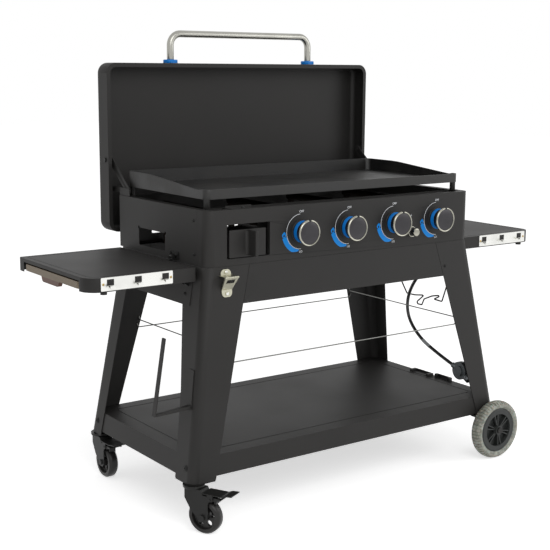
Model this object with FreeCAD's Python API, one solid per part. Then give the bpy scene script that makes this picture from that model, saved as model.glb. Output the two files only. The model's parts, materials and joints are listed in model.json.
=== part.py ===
import FreeCAD, Part
import math
import os

V = FreeCAD.Vector
X_AXIS = V(1, 0, 0)
Y_AXIS = V(0, 1, 0)
Z_AXIS = V(0, 0, 1)
SIDES = (("left", -1), ("right", 1))

# Frame: the drawing puts y = 0 on the control panel; the written parts are moved so that the
# origin lies under the middle of the whole station.
DRAWING_MID_Y = 221.1

# Sheet and fits
SHEET = 1.5
LEG_SHEET = 2.5
SEAT = 0.3

# Firebox
BOX_HALF_X = 500.0
BOX_BACK_Y = 498.0
BOX_BASE_Z = 725.0
BOX_TOP_Z = 881.5
BOX_FLANGE = 24.0
PANEL_SEAM_Y = 49.5
PANEL_CORNER_R = 27.0
HAND_HOLD_Y = (223.0, 377.0)
HAND_HOLD_Z = (744.0, 796.0)

# Griddle plate
PLATE_HALF_X = 481.0
PLATE_Y = (32.6, 480.4)
PLATE_BASE_Z = 912.5
PLATE_SHEET = 4.5
PLATE_BACK_Z = 956.0
PLATE_FRONT_Z = 936.3
PLATE_CORNER_R = 18.0
PLATE_HIGH_Y = 341.0
PLATE_LOW_Y = 74.0
PLATE_LOW_Z = 933.0
FOOT_R = 9.0

# Lid, drawn open
LID_HALF_X = 512.7
LID_RIM_Y = 539.8
LID_BACK_Y = 610.6
LID_Z = (761.0, 1279.4)
LID_SHEET = 1.2
LID_LIP = 12.5
LID_CORNER_R = 32.0
LID_EDGE_R = 16.0

# Lid linkage, as (y, z) of its pivots
LINK_A = (449.9, 896.0)
LINK_B = (560.7, 984.5)
STRUT_A = (485.1, 896.0)
STRUT_B = (584.7, 894.9)
LINK_X = (492.0, 495.0)
STRUT_X = (486.0, 489.0)
BRACKET_X = (495.4, 497.6)
LINK_HALF_W = 12.0
STRUT_HALF_W = 7.8
PIVOT_R = 4.0
PIVOT_GAP = 0.06
PIVOT_HEAD_R = 7.5
PIVOT_HEAD = 1.8

# Lid handle
HANDLE_R = 11.0
HANDLE_POST_X = 272.0
HANDLE_Y = 569.0
HANDLE_TOP_Z = 1371.0
HANDLE_BEND_R = 36.0
HANDLE_WALL = 1.2
BEZEL_L = 47.0
BEZEL_W = 34.0
BEZEL_H = 11.0

# Control panel items
KNOB_X = (-178.0, 0.0, 178.0, 356.0)
KNOB_Z = 803.0
KNOB_R = 37.5
KNOB_SKIRT_R = 39.5
KNOB_FRONT_Y = -45.0
KNOB_BACK_Y = -11.0
RING_R = 45.0
RING_BORE_R = 34.0
RING_DEPTH = 8.0
STEM_R = 4.0
IGNITER_AT = (254.0, 769.0)
IGNITER_R = 9.5
IGNITER_COLLAR_R = 13.0
TRAY_X = (-433.0, -288.0)
TRAY_Z = (744.0, 840.0)
TRAY_DEPTH = 68.0
TRAY_GAP = 2.5
TRAY_FACE_X = (-425.0, -302.0)
TRAY_FACE_TOP_Z = 824.0
GRIP_X = (-364.0, -354.0)
GRIP_REACH = 40.0

# Latches between the firebox and the cart
LATCH_Y = (154.5, 190.6)
LATCH_PIVOT = (509.3, 737.0)
LATCH_PIN_R = 2.5
LATCH_HOOK_Z = 713.0

# Side shelves
SHELF_X = (513.6, 842.6)
SHELF_Y = (33.7, 469.8)
SHELF_TOP_Z = 724.4
SHELF_H = 38.7
SHELF_SHEET = 1.5
SHELF_CORNER_R = 46.0
SHELF_PIN_Z = 691.0
SHELF_PIN_IN = 14.0
BOARD_Y = (92.0, 431.0)
BOARD_Z = (690.5, 709.5)
BOARD_DEPTH = 285.0
WINDOW_Y = (84.5, 439.0)
WINDOW_TOP_Z = 714.0
TAB_Y = (207.0, 324.0)
TAB_LOW_Z = 675.5
STRIP_X = (588.0, 805.0)
HOOK_AT = (600.0, 683.5, 766.5)

# Legs: the outer corner line runs from the firebox's base down to the foot plate
LEG_FOOT_Z = 140.0
LEG_SPLAY_X = 93.7
LEG_LEAN_FRONT = 64.0
LEG_LEAN_REAR = 42.0
LEG_FOLD_R = 26.0
FRONT_FLANGE = ((725.0, 142.0), (140.0, 81.0))
FRONT_SIDE_FLANGE = ((725.0, 124.0), (377.0, 88.0), (140.0, 85.0))
REAR_SIDE_FLANGE = ((725.0, 84.0), (377.0, 73.5), (140.0, 68.0))

# Aprons
APRON_LOW_Z = 617.0
SIDE_APRON_LOW_Z = 612.0
SIDE_APRON_Y = (60.0, 462.0)

# Lower shelf
TRAY_TOP_Z = 208.0
TRAY_LOW_Z = 150.0
DECK_STOPS = (((547.0, 572.0), (212.0, 306.0), 9.0), ((562.0, 574.0), (122.0, 196.0), 13.0))

# Casters
CASTER_AT = {"front": (-570.0, -40.0), "rear": (-570.0, 516.0)}
CASTER_TURN = {"front": 27.0, "rear": 0.0}
CASTER_WHEEL_R = 49.5
CASTER_WHEEL_W = 30.0
CASTER_TRAIL = 38.0
CASTER_RACE_R = 31.0
CASTER_AXLE_R = 5.0
FORK_INSIDE = 18.0
FORK_SHEET = 3.0
FORK_CROWN_Z = 109.0
FORK_HOOD_Z = (108.0, 114.0)
BRAKE_SHEET = 2.5
BRAKE_PIVOT = (-64.0, 106.5)
BRAKE_PIN_R = 3.0
BRAKE_PLATE_Z = 121.5
BRAKE_TIP_Y = -132.0
BRAKE_SHOE_HALF_W = 10.0
FOOT_PLATE = 88.0
FOOT_SHEET = 4.0

# Bottle opener: middle, half widths, reach from the leg, and its heights from the foot up
OPENER_X = -440.0
OPENER_HALF_W = 22.5
OPENER_EAR_HALF_W = 17.0
OPENER_REACH = 34.0
OPENER_SHEET = 2.2
OPENER_Z = (641.0, 661.0, 702.0, 718.0)

# Paper towel holder: how far its bracket sits behind the leg's corner
TOWEL_IN = 35.0

# Large wheels
WHEEL_X = 567.0
WHEEL_R = 96.0
WHEEL_W = 42.0
WHEEL_FACE_Y = {"front": -111.0, "rear": 587.0}
RIM_R = 73.0
TYRE_SEAT = 0.1
HUB_R = 15.0
SPOKE_OUT_R = 54.0
SPOKE_W = 3.4
SPOKE_SPREAD = 7.0
SPOKE_PHASE = 100.0
WEB_SHEET = 3.0
AXLE_R = 6.0
SPOKE_PAIRS = 6

# Gas line
MANIFOLD_R = 9.0
MANIFOLD_Z = 745.4
HOSE_R = 5.6
HOSE_POINTS = (
    (462.0, 42.0, 716.0),
    (465.0, 62.0, 644.0),
    (484.0, 180.0, 610.0),
    (494.0, 268.0, 512.0),
    (495.0, 274.0, 425.0),
    (493.0, 203.6, 356.6),
    (494.0, 101.0, 316.0),
    (502.0, 50.0, 294.5),
)
HOSE_BEND = 0.45


def box(x, y, z):
    """A block between pairs of limits."""
    x0, x1 = sorted(x)
    y0, y1 = sorted(y)
    z0, z1 = sorted(z)
    return Part.makeBox(x1 - x0, y1 - y0, z1 - z0, V(x0, y0, z0))


def rod(radius, start, end):
    """A cylinder between two points."""
    a = V(*start)
    b = V(*end)
    return Part.makeCylinder(radius, (b - a).Length, a, b - a)


def ring(outer, inner, start, end):
    """A tube between two points."""
    return rod(outer, start, end).cut(rod(inner, start, end))


def place(plane, u, v, w):
    """A point from the two coordinates in a plane and the distance along its normal."""
    if plane == "xy":
        return V(u, v, w)
    if plane == "xz":
        return V(u, w, v)
    return V(w, u, v)


def outline(plane, points, at=0.0, radii=None):
    """A closed wire through points, with a rounded corner wherever a radius is given."""
    flat = [place(plane, u, v, at) for u, v in points]
    count = len(flat)
    radii = radii or [0.0] * count
    edges = []
    starts = []
    ends = []
    mids = []
    for i, corner in enumerate(flat):
        if radii[i] <= 0:
            starts.append(corner)
            ends.append(corner)
            mids.append(None)
            continue
        back = (flat[i - 1] - corner).normalize()
        ahead = (flat[(i + 1) % count] - corner).normalize()
        half = back.getAngle(ahead) / 2.0
        reach = radii[i] / math.tan(half)
        bisector = (back + ahead).normalize()
        centre = corner + bisector * (radii[i] / math.sin(half))
        starts.append(corner + back * reach)
        ends.append(corner + ahead * reach)
        mids.append(centre - bisector * radii[i])
    for i in range(count):
        if mids[i] is not None:
            edges.append(Part.Arc(starts[i], mids[i], ends[i]).toShape())
        nxt = (i + 1) % count
        if ends[i].distanceToPoint(starts[nxt]) > 1e-6:
            edges.append(Part.LineSegment(ends[i], starts[nxt]).toShape())
    return Part.Wire(edges)


def slab(plane, points, low, high, radii=None):
    """An outline made into a plate between two distances along the plane's normal."""
    face = Part.Face(outline(plane, points, low, radii))
    return face.extrude(place(plane, 0, 0, high - low))


def round_slab(plane, u, v, low, high, radius):
    """A rectangular plate with four equal rounded corners."""
    points = ((u[0], v[0]), (u[1], v[0]), (u[1], v[1]), (u[0], v[1]))
    return slab(plane, points, low, high, [radius] * 4)


def fuse(*solids):
    """One clean solid, or a compound, from many."""
    shape = solids[0]
    if len(solids) > 1:
        shape = solids[0].multiFuse(list(solids[1:]))
    return shape.removeSplitter()


def group(solids):
    """Separate solids that share a node."""
    flat = []
    for shape in solids:
        flat.extend(shape.Solids)
    return Part.makeCompound(flat)


def mirror_x(shape):
    return shape.mirror(V(0, 0, 0), X_AXIS)


def sided(shape, side):
    """The shape as drawn on the right side, or its mirror on the left."""
    return shape if side > 0 else mirror_x(shape)


def bent_rod(points, radius, bends):
    """A round bar along a line of points with arc bends."""
    path = [V(*p) for p in points]
    edges = []
    last = path[0]
    for i in range(1, len(path) - 1):
        back = (path[i - 1] - path[i]).normalize()
        ahead = (path[i + 1] - path[i]).normalize()
        half = back.getAngle(ahead) / 2.0
        bend = bends[i - 1] if isinstance(bends, (list, tuple)) else bends
        reach = bend / math.tan(half)
        bisector = (back + ahead).normalize()
        centre = path[i] + bisector * (bend / math.sin(half))
        start = path[i] + back * reach
        end = path[i] + ahead * reach
        edges.append(Part.LineSegment(last, start).toShape())
        edges.append(Part.Arc(start, centre - bisector * bend, end).toShape())
        last = end
    edges.append(Part.LineSegment(last, path[-1]).toShape())
    wire = Part.Wire(edges)
    circle = Part.Wire([Part.Circle(path[0], path[1] - path[0], radius).toShape()])
    return wire.makePipeShell([circle], True, True)


def at_height(table, z):
    """A value read off a list of (height, value) pairs."""
    pairs = sorted(table)
    for (z0, a), (z1, b) in zip(pairs, pairs[1:]):
        if z <= z1:
            return a + (b - a) * (z - z0) / (z1 - z0)
    return pairs[-1][1]


def drop(z):
    """How far down the leg a height lies, from 0 at the firebox to 1 at the foot."""
    return (BOX_BASE_Z - z) / (BOX_BASE_Z - LEG_FOOT_Z)


def leg_x(z):
    return BOX_HALF_X + LEG_SPLAY_X * drop(z)


def leg_y(z, end):
    if end == "front":
        return -LEG_LEAN_FRONT * drop(z)
    return BOX_BACK_Y + LEG_LEAN_REAR * drop(z)


# Legs


def leg_section(z, end):
    """The folded L of a right-hand leg at one height."""
    x = leg_x(z)
    y = leg_y(z, end)
    inward = 1 if end == "front" else -1
    flange = at_height(FRONT_FLANGE, z)
    depth = at_height(FRONT_SIDE_FLANGE if end == "front" else REAR_SIDE_FLANGE, z)
    t = LEG_SHEET
    points = (
        (x, y),
        (x, y + inward * depth),
        (x - t, y + inward * depth),
        (x - t, y + inward * t),
        (x - flange, y + inward * t),
        (x - flange, y),
    )
    return outline("xy", points, z, [LEG_FOLD_R, 0, 0, LEG_FOLD_R - t, 0, 0])


def leg(end, side):
    """A tapering folded leg with its foot plate."""
    table = FRONT_SIDE_FLANGE if end == "front" else REAR_SIDE_FLANGE
    heights = sorted({z for z, _ in table} | {z for z, _ in FRONT_FLANGE}, reverse=True)
    top = leg_section(heights[0] - SEAT, end)
    wires = [top] + [leg_section(z, end) for z in heights[1:]]
    body = Part.makeLoft(wires, True, True)
    parts = [sided(body, side), foot_plate(end, side)]
    if side > 0:
        parts.append(axle_bracket(end))
    return fuse(*parts)


def foot_plate(end, side):
    """The flat foot welded across the leg's lower end."""
    corner_x = side * (leg_x(LEG_FOOT_Z) - LEG_SHEET / 2)
    inward_y = 1 if end == "front" else -1
    corner_y = leg_y(LEG_FOOT_Z, end) + inward_y * LEG_SHEET / 2
    size_y = FOOT_PLATE if end == "front" else at_height(REAR_SIDE_FLANGE, LEG_FOOT_Z)
    return slab(
        "xy",
        (
            (corner_x, corner_y),
            (corner_x - side * FOOT_PLATE * 0.9, corner_y),
            (corner_x - side * FOOT_PLATE * 0.9, corner_y + inward_y * size_y * 0.95),
            (corner_x, corner_y + inward_y * size_y * 0.95),
        ),
        LEG_FOOT_Z - FOOT_SHEET,
        LEG_FOOT_Z,
        [LEG_FOLD_R, 0, 0, 0],
    )


# Aprons


def leaning_sheet(end, rows, inset, sheet):
    """A sheet in the leaning plane of a pair of legs, from rows of (height, half width)."""
    inward = 1 if end == "front" else -1
    wires = []
    for z, half in rows:
        y = leg_y(z, end) + inward * inset
        points = ((-half, y), (half, y), (half, y + inward * sheet), (-half, y + inward * sheet))
        wires.append(outline("xy", points, z))
    return Part.makeLoft(wires, True, True)


def end_apron(end):
    """The front or rear apron: a flush face, a tab behind each leg and a return along its foot."""
    top = BOX_BASE_Z - SEAT
    low = APRON_LOW_Z

    def seam(z):
        return leg_x(z) - at_height(FRONT_FLANGE, z) - 1.0

    face = leaning_sheet(end, ((top, seam(top)), (low, seam(low))), 0.0, LEG_SHEET)
    behind = LEG_SHEET + SEAT
    reach = 34.0
    tabs = []
    for side in (-1, 1):
        wires = []
        for z in (top, low):
            y0 = leg_y(z, end) + (1 if end == "front" else -1) * behind
            y1 = y0 + (1 if end == "front" else -1) * SHEET
            inner = side * (seam(z) - reach)
            outer = side * (seam(z) + reach)
            wires.append(outline("xy", ((inner, y0), (outer, y0), (outer, y1), (inner, y1)), z))
        tabs.append(Part.makeLoft(wires, True, True))
    inward = 1 if end == "front" else -1
    foot_y = leg_y(low, end)
    half = seam(low) - reach - 2.0
    lip = box((-half, half), (foot_y + inward * LEG_SHEET, foot_y + inward * 22.0), (low, low + SHEET))
    weld = []
    for side in (-1, 1):
        wires = []
        for z in (top, low):
            y0 = leg_y(z, end) + inward * (LEG_SHEET - 0.5)
            y1 = leg_y(z, end) + inward * (behind + 0.5)
            a = side * (seam(z) - reach)
            b = side * (seam(z) - 4.0)
            wires.append(outline("xy", ((a, y0), (b, y0), (b, y1), (a, y1)), z))
        weld.append(Part.makeLoft(wires, True, True))
    return fuse(face, lip, *tabs, *weld)


def side_apron(side):
    """The side apron, outside the legs' side flanges, with a return along its foot."""
    wires = []
    for z in (BOX_BASE_Z - SEAT, SIDE_APRON_LOW_Z):
        x0 = leg_x(z) + SEAT
        x1 = x0 + SHEET
        y0, y1 = SIDE_APRON_Y
        wires.append(outline("xy", ((x0, y0), (x1, y0), (x1, y1), (x0, y1)), z))
    face = Part.makeLoft(wires, True, True)
    x = leg_x(SIDE_APRON_LOW_Z)
    lip_y = (SIDE_APRON_Y[0] + 70.0, SIDE_APRON_Y[1] - 50.0)
    lip = box((x - 18.0, x + SEAT + SHEET * 0.5), lip_y, (SIDE_APRON_LOW_Z, SIDE_APRON_LOW_Z + SHEET))
    mid = sum(LATCH_Y) / 2
    slot = box((leg_x(LATCH_HOOK_Z) - 3, leg_x(LATCH_HOOK_Z) + 6), (mid - 8, mid + 8), (LATCH_HOOK_Z - 5, LATCH_HOOK_Z + 5))
    return sided(fuse(face, lip).cut(slot), side)


# Lower shelf


def lower_shelf():
    """The folded deck: four leaning skirts, a flat deck with a pressed border and open underneath."""
    def corners(z, inset):
        x = leg_x(z) - LEG_SHEET - SEAT - inset
        front = leg_y(z, "front") + LEG_SHEET + SEAT + inset
        rear = leg_y(z, "rear") - LEG_SHEET - SEAT - inset
        return ((-x, front), (x, front), (x, rear), (-x, rear))

    def block(low, high, inset):
        radius = LEG_FOLD_R - LEG_SHEET - inset
        wires = [outline("xy", corners(z, inset), z, [radius] * 4) for z in (low, high)]
        return Part.makeLoft(wires, True, True)

    shell = block(TRAY_LOW_Z, TRAY_TOP_Z, 0.0).cut(block(TRAY_LOW_Z - 1, TRAY_TOP_Z - SHEET, SHEET))
    border = 44.0
    groove = 7.0
    top = TRAY_TOP_Z
    outer = [(u * 1.0, v) for u, v in corners(top, border)]
    inner = corners(top, border + groove)
    cut = slab("xy", outer, top - 0.7, top + 1, [14.0] * 4).cut(
        slab("xy", inner, top - 2, top + 2, [8.0] * 4)
    )
    shell = shell.cut(cut)
    stops = []
    for x_pair, y_pair, height in DECK_STOPS:
        stop = box(x_pair, y_pair, (top - 0.5, top + height))
        stops.append(stop.cut(box((x_pair[0] - 1, x_pair[1] - SHEET), (y_pair[0] + 12, y_pair[1] - 12), (top + SHEET, top + 40))))
    return fuse(shell, *stops)


# Wires and fittings of the cart


def brace_wires():
    """Four tie wires with upturned ends, seated behind the legs' end flanges."""
    r = 1.8
    rise = 12.0
    behind = LEG_SHEET + r + SEAT
    wires = []
    z = 480.0
    for side in (-1, 1):
        x = side * 430.0
        y0 = leg_y(z + rise, "front") + behind
        y1 = leg_y(z + rise, "rear") - behind
        wires.append(bent_rod(((x, y0, z + rise), (x, y0, z), (x, y1, z), (x, y1, z + rise)), r, 5.0))
    z = 456.0
    for end in ("front", "rear"):
        inward = 1 if end == "front" else -1
        y = leg_y(z + rise, end) + inward * behind
        x = leg_x(z) - at_height(FRONT_FLANGE, z)
        wires.append(bent_rod(((-x - 8, y, z + rise), (-x - 2, y, z), (x + 2, y, z), (x + 8, y, z + rise)), r, 6.0))
    return group(wires)


def axle_bracket(end):
    """A triangular plate under the right leg with a welded stub axle and its collar."""
    inward = 1 if end == "front" else -1
    y0 = leg_y(LEG_FOOT_Z, end) + inward * (LEG_SHEET + SEAT)
    y1 = y0 + inward * 4.0
    z = WHEEL_R
    top = LEG_FOOT_Z - FOOT_SHEET + 1.0
    plate = slab(
        "xz",
        ((WHEEL_X - 16, z - 15), (WHEEL_X + 16, z - 15), (WHEEL_X + 22, top), (WHEEL_X - 56, top)),
        min(y0, y1),
        max(y0, y1),
        [14.0, 14.0, 4.0, 4.0],
    )
    flange = box((WHEEL_X - 52, WHEEL_X + 18), (y0, y0 + inward * 30.0), (top - 3.0, top))
    face = WHEEL_FACE_Y[end]
    tip = face - inward * 1.0
    axle = rod(AXLE_R, (WHEEL_X, y1, z), (WHEEL_X, tip + inward * 4, z))
    collar = rod(11.0, (WHEEL_X, y0, z), (WHEEL_X, face + inward * (WHEEL_W + 1.0), z))
    head = rod(10.0, (WHEEL_X, tip + inward * 0.5, z), (WHEEL_X, tip - inward * 4.0, z))
    axle = axle.fuse(rod(AXLE_R, (WHEEL_X, tip + inward * 4, z), (WHEEL_X, tip, z)))
    return fuse(plate, flange, axle, collar, head)


def bottle_opener():
    """A bent steel opener on the front left leg: two ears, a ledge and a sloping plate with a slot."""
    low, foot, brow, top = OPENER_Z
    x = OPENER_X
    t = OPENER_SHEET
    reach = OPENER_REACH

    def face(z):
        return leg_y(z, "front") - SEAT

    side_view = (
        (face(top), top),
        (face(top) - t, top),
        (face(brow) - t, brow),
        (face(brow) - reach, brow),
        (face(brow) - reach - 0.5, brow - 3.0),
        (face(foot) - t, foot),
        (face(low) - t, low),
        (face(low), low),
        (face(foot), foot + 3.0),
        (face(brow) - reach + 3.5, brow - t),
        (face(brow), brow - t),
    )
    strip = slab("yz", side_view, x - OPENER_HALF_W, x + OPENER_HALF_W)
    ear = OPENER_EAR_HALF_W
    wide = OPENER_HALF_W
    half_view = ((ear, top + 1), (ear, brow + 0.1), (wide, brow + 0.1), (wide, brow - 4), (ear, foot), (ear, low - 1))
    front_view = [(x + u, z) for u, z in half_view] + [(x - u, z) for u, z in reversed(half_view)]
    round_ends = [14.0, 0, 0, 0, 0, 14.0, 14.0, 0, 0, 0, 0, 14.0]
    opener = strip.common(slab("xz", front_view, -reach - 20, 5, round_ends))
    slot = box((x - ear + 4, x + ear - 4), (-reach - 20, face(foot) - 6), (brow - 20, brow - 9))
    opener = opener.cut(slot)
    heads = []
    for z in (low + 10, top - 8):
        heads.append(rod(5.0, (x, face(z) - t / 2, z), (x, face(z) - t - 2.2, z)))
    return fuse(opener, *heads)


def towel_holder():
    """A bracket on the front left leg with an arm that runs outward and an upright flat bar."""
    z_low, z_high = 340.0, 446.0
    t = 2.5
    wires = []
    for z in (z_low, z_high):
        x0 = -leg_x(z) - SEAT
        x1 = x0 - t
        y = leg_y(z, "front") + TOWEL_IN
        wires.append(outline("xy", ((x0, y - 11), (x0, y + 11), (x1, y + 11), (x1, y - 11)), z))
    plate = Part.makeLoft(wires, True, True)
    arm_z = 337.0
    root = -leg_x(z_low) - SEAT
    y = leg_y(arm_z, "front") + TOWEL_IN
    tip_x = -677.0
    arm = slab("xz", ((root, z_low), (root, z_low + 10), (tip_x, arm_z + 4), (tip_x, arm_z)), y - 8, y + 8)
    rise = 213.0
    lean_x = LEG_SPLAY_X / (BOX_BASE_Z - LEG_FOOT_Z) * rise
    bar = slab(
        "xz",
        (
            (tip_x, arm_z),
            (tip_x + 4, arm_z),
            (tip_x + 4 + lean_x, arm_z + rise),
            (tip_x + lean_x, arm_z + rise),
        ),
        y - 8,
        y + 8,
    )
    return fuse(plate, arm, bar)


def tank_hook():
    """A bent wire hung from the right side apron, with two prongs for a gas bottle's collar."""
    x = 520.0
    r = 2.4
    prong = 34.0
    points = (
        (x, 386, 604),
        (x, 303, 494.5),
        (x, 262, 495),
        (x + prong, 252, 492),
        (x, 240, 482),
        (x, 262, 466),
        (x, 226, 466),
        (x, 216, 488),
        (x, 178, 505),
        (x + prong, 160, 507),
        (x, 168, 496),
        (x, 129, 494),
        (x, 110, 547),
        (x, 106, 604),
    )
    bends = [9.0, 6.0, 3.2, 4.0, 6.0, 6.0, 6.0, 7.0, 3.2, 4.0, 6.0, 7.0]
    wire = bent_rod(points, r, bends[: len(points) - 2])
    tabs = []
    for y in (386.0, 106.0):
        top = SIDE_APRON_LOW_Z - SEAT
        ear = box((x - 6, x + 6), (y - 6, y + 6), (603.0, top))
        tabs.append(ear)
    return fuse(wire, *tabs)


# Side shelves


def shelf_body(side):
    """A folded tray, open underneath, with its hinge ears and, on the left, the board's window."""
    x0, x1 = SHELF_X
    y0, y1 = SHELF_Y
    top = SHELF_TOP_Z
    low = top - SHELF_H
    t = SHELF_SHEET
    points = ((x0, y0), (x1, y0), (x1, y1), (x0, y1))
    radii = [2.5, SHELF_CORNER_R, 6.0, 2.5]
    inner_points = ((x0 + t, y0 + t), (x1 - t, y0 + t), (x1 - t, y1 - t), (x0 + t, y1 - t))
    inner_radii = [1.0, SHELF_CORNER_R - t, 4.5, 1.0]
    body = slab("xy", points, low, top, radii)
    body = body.cut(slab("xy", inner_points, low - 1, top - t, inner_radii))
    edge = 16.0
    groove = 3.0
    sunk = 0.6
    groove_out = slab(
        "xy",
        ((x0 + edge, y0 + edge), (x1 - edge, y0 + edge), (x1 - edge, y1 - edge), (x0 + edge, y1 - edge)),
        top - sunk,
        top + 1,
        [4.0, SHELF_CORNER_R - edge, 6.0, 4.0],
    )
    e2 = edge + groove
    groove_in = slab(
        "xy",
        ((x0 + e2, y0 + e2), (x1 - e2, y0 + e2), (x1 - e2, y1 - e2), (x0 + e2, y1 - e2)),
        top - 2,
        top + 2,
        [2.0, SHELF_CORNER_R - e2, 4.0, 2.0],
    )
    body = body.cut(groove_out.cut(groove_in))
    lip = 9.0
    for y in (y0 + t / 2, y1 - t / 2 - lip):
        body = body.fuse(box((x0 + 60, x1 - SHELF_CORNER_R - 4), (y, y + lip), (low, low + t)))
    if side < 0:
        body = body.cut(box((x1 - 4, x1 + 1), WINDOW_Y, (low - 1, WINDOW_TOP_Z)))
        for y in (BOARD_Y[0] - 1.0, BOARD_Y[1] + 1.0):
            inward = 1 if y < (y0 + y1) / 2 else -1
            z = BOARD_Z[0] - 0.8
            runner = box((x1 - BOARD_DEPTH, x1 - 8), (y - inward * 1.5, y + inward * 14), (z - t, z))
            web = box((x1 - BOARD_DEPTH, x1 - 8), (y - inward * 1.5, y), (z - t, top - t / 2))
            body = body.fuse(runner).fuse(web)
    rest = box((x0 + 60, x0 + 64), (y0 + t / 2, y1 - t / 2), (low + 4, top - t / 2))
    if side < 0:
        rest = box((x0 + 30, x0 + 34), (y0 + t / 2, y1 - t / 2), (low + 4, top - t / 2))
    body = body.fuse(rest)
    foot = rod(9.0, (x1 - 52, y0 + 12, low + t), (x1 - 52, y0 + 12, low - 8.0))
    body = body.fuse(foot)
    for y in hinge_rows():
        pin_x = x0 + SHELF_PIN_IN
        bore = rod(PIVOT_R + PIVOT_GAP, (pin_x, y - 30, SHELF_PIN_Z), (pin_x, y + 30, SHELF_PIN_Z))
        ear_y = (y - 9, y + 9)
        ear = slab("xz", ((x0 + 4, SHELF_PIN_Z - 9), (x0 + 24, SHELF_PIN_Z - 9), (x0 + 34, top - t / 2), (x0 + 4, top - t / 2)), *ear_y)
        wall_gap = box((x0 - 1, x0 + t + 0.5), (y - 24, y + 24), (low - 1, SHELF_PIN_Z + 14))
        body = body.cut(wall_gap).fuse(ear).cut(bore)
    return sided(body.removeSplitter(), side)


def hinge_rows():
    return (SHELF_Y[0] + 56.0, SHELF_Y[1] - 56.0)


def shelf_hinge(side, y):
    """A clevis on the side apron with its pin through the shelf's ear."""
    pin_x = SHELF_X[0] + SHELF_PIN_IN
    z = SHELF_PIN_Z
    low, high = z - 26.0, z + 10.0

    def root(height):
        return leg_x(height) + SEAT + SHEET + SEAT

    parts = []
    cheek = ((root(low), low), (pin_x + 8, z - 8), (pin_x + 8, z + 8), (root(high), high))
    for s in (-1, 1):
        near, far = sorted((y + s * 10.0, y + s * 13.0))
        parts.append(slab("xz", cheek, near, far, [0, 6.0, 6.0, 0]))
    back = ((root(low), low), (root(low) + 2.0, low), (root(low + 14) + 2.0, low + 14), (root(low + 14), low + 14))
    parts.append(slab("xz", back, y - 13, y + 13))
    parts.append(rod(PIVOT_R, (pin_x, y - 15, z), (pin_x, y + 15, z)))
    parts.append(rod(6.0, (pin_x, y - 17, z), (pin_x, y - 12.5, z)))
    return sided(fuse(*parts), side)


def hook_strip(side):
    """A bright strip on the shelf's front edge with three punched hooks."""
    y = SHELF_Y[0] - SEAT
    t = 1.2
    z0 = SHELF_TOP_Z - SHELF_H + 3.0
    z1 = SHELF_TOP_Z
    x0, x1 = STRIP_X
    strip = round_slab("xz", (x0, x1), (z0, z1), y - t, y, 3.0)
    hooks = []
    for hx in HOOK_AT:
        strip = strip.cut(box((hx, hx + 21), (y - 3, y + 1), (z0 + 9, z1 - 5)))
        profile = (
            (y, z0 + 12),
            (y - 16, z0 + 7),
            (y - 16, z0 + 15),
            (y - 14.5, z0 + 15),
            (y - 14.5, z0 + 9.2),
            (y, z0 + 13.8),
        )
        hooks.append(slab("yz", profile, hx + 3, hx + 18))
    for hx in HOOK_AT:
        hooks.append(box((hx - 0.1, hx + 21.1), (y - t, y), (z0 + 8.5, z0 + 14)))
    return sided(fuse(strip, *hooks), side)


def cutting_board():
    """A wooden board on the left shelf's runners with a finger tab below its front edge."""
    x1 = SHELF_X[1] - 1.0
    x0 = x1 - BOARD_DEPTH + 6
    body = round_slab("xy", (x0, x1), BOARD_Y, BOARD_Z[0], BOARD_Z[1], 8.0)
    tab = slab(
        "yz",
        (
            (TAB_Y[0], BOARD_Z[0] + 2),
            (TAB_Y[0] + 9, TAB_LOW_Z),
            (TAB_Y[1] - 9, TAB_LOW_Z),
            (TAB_Y[1], BOARD_Z[0] + 2),
        ),
        x1 - 12,
        x1,
        [0, 10.0, 10.0, 0],
    )
    return sided(fuse(body, tab), -1)


# Firebox


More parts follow.
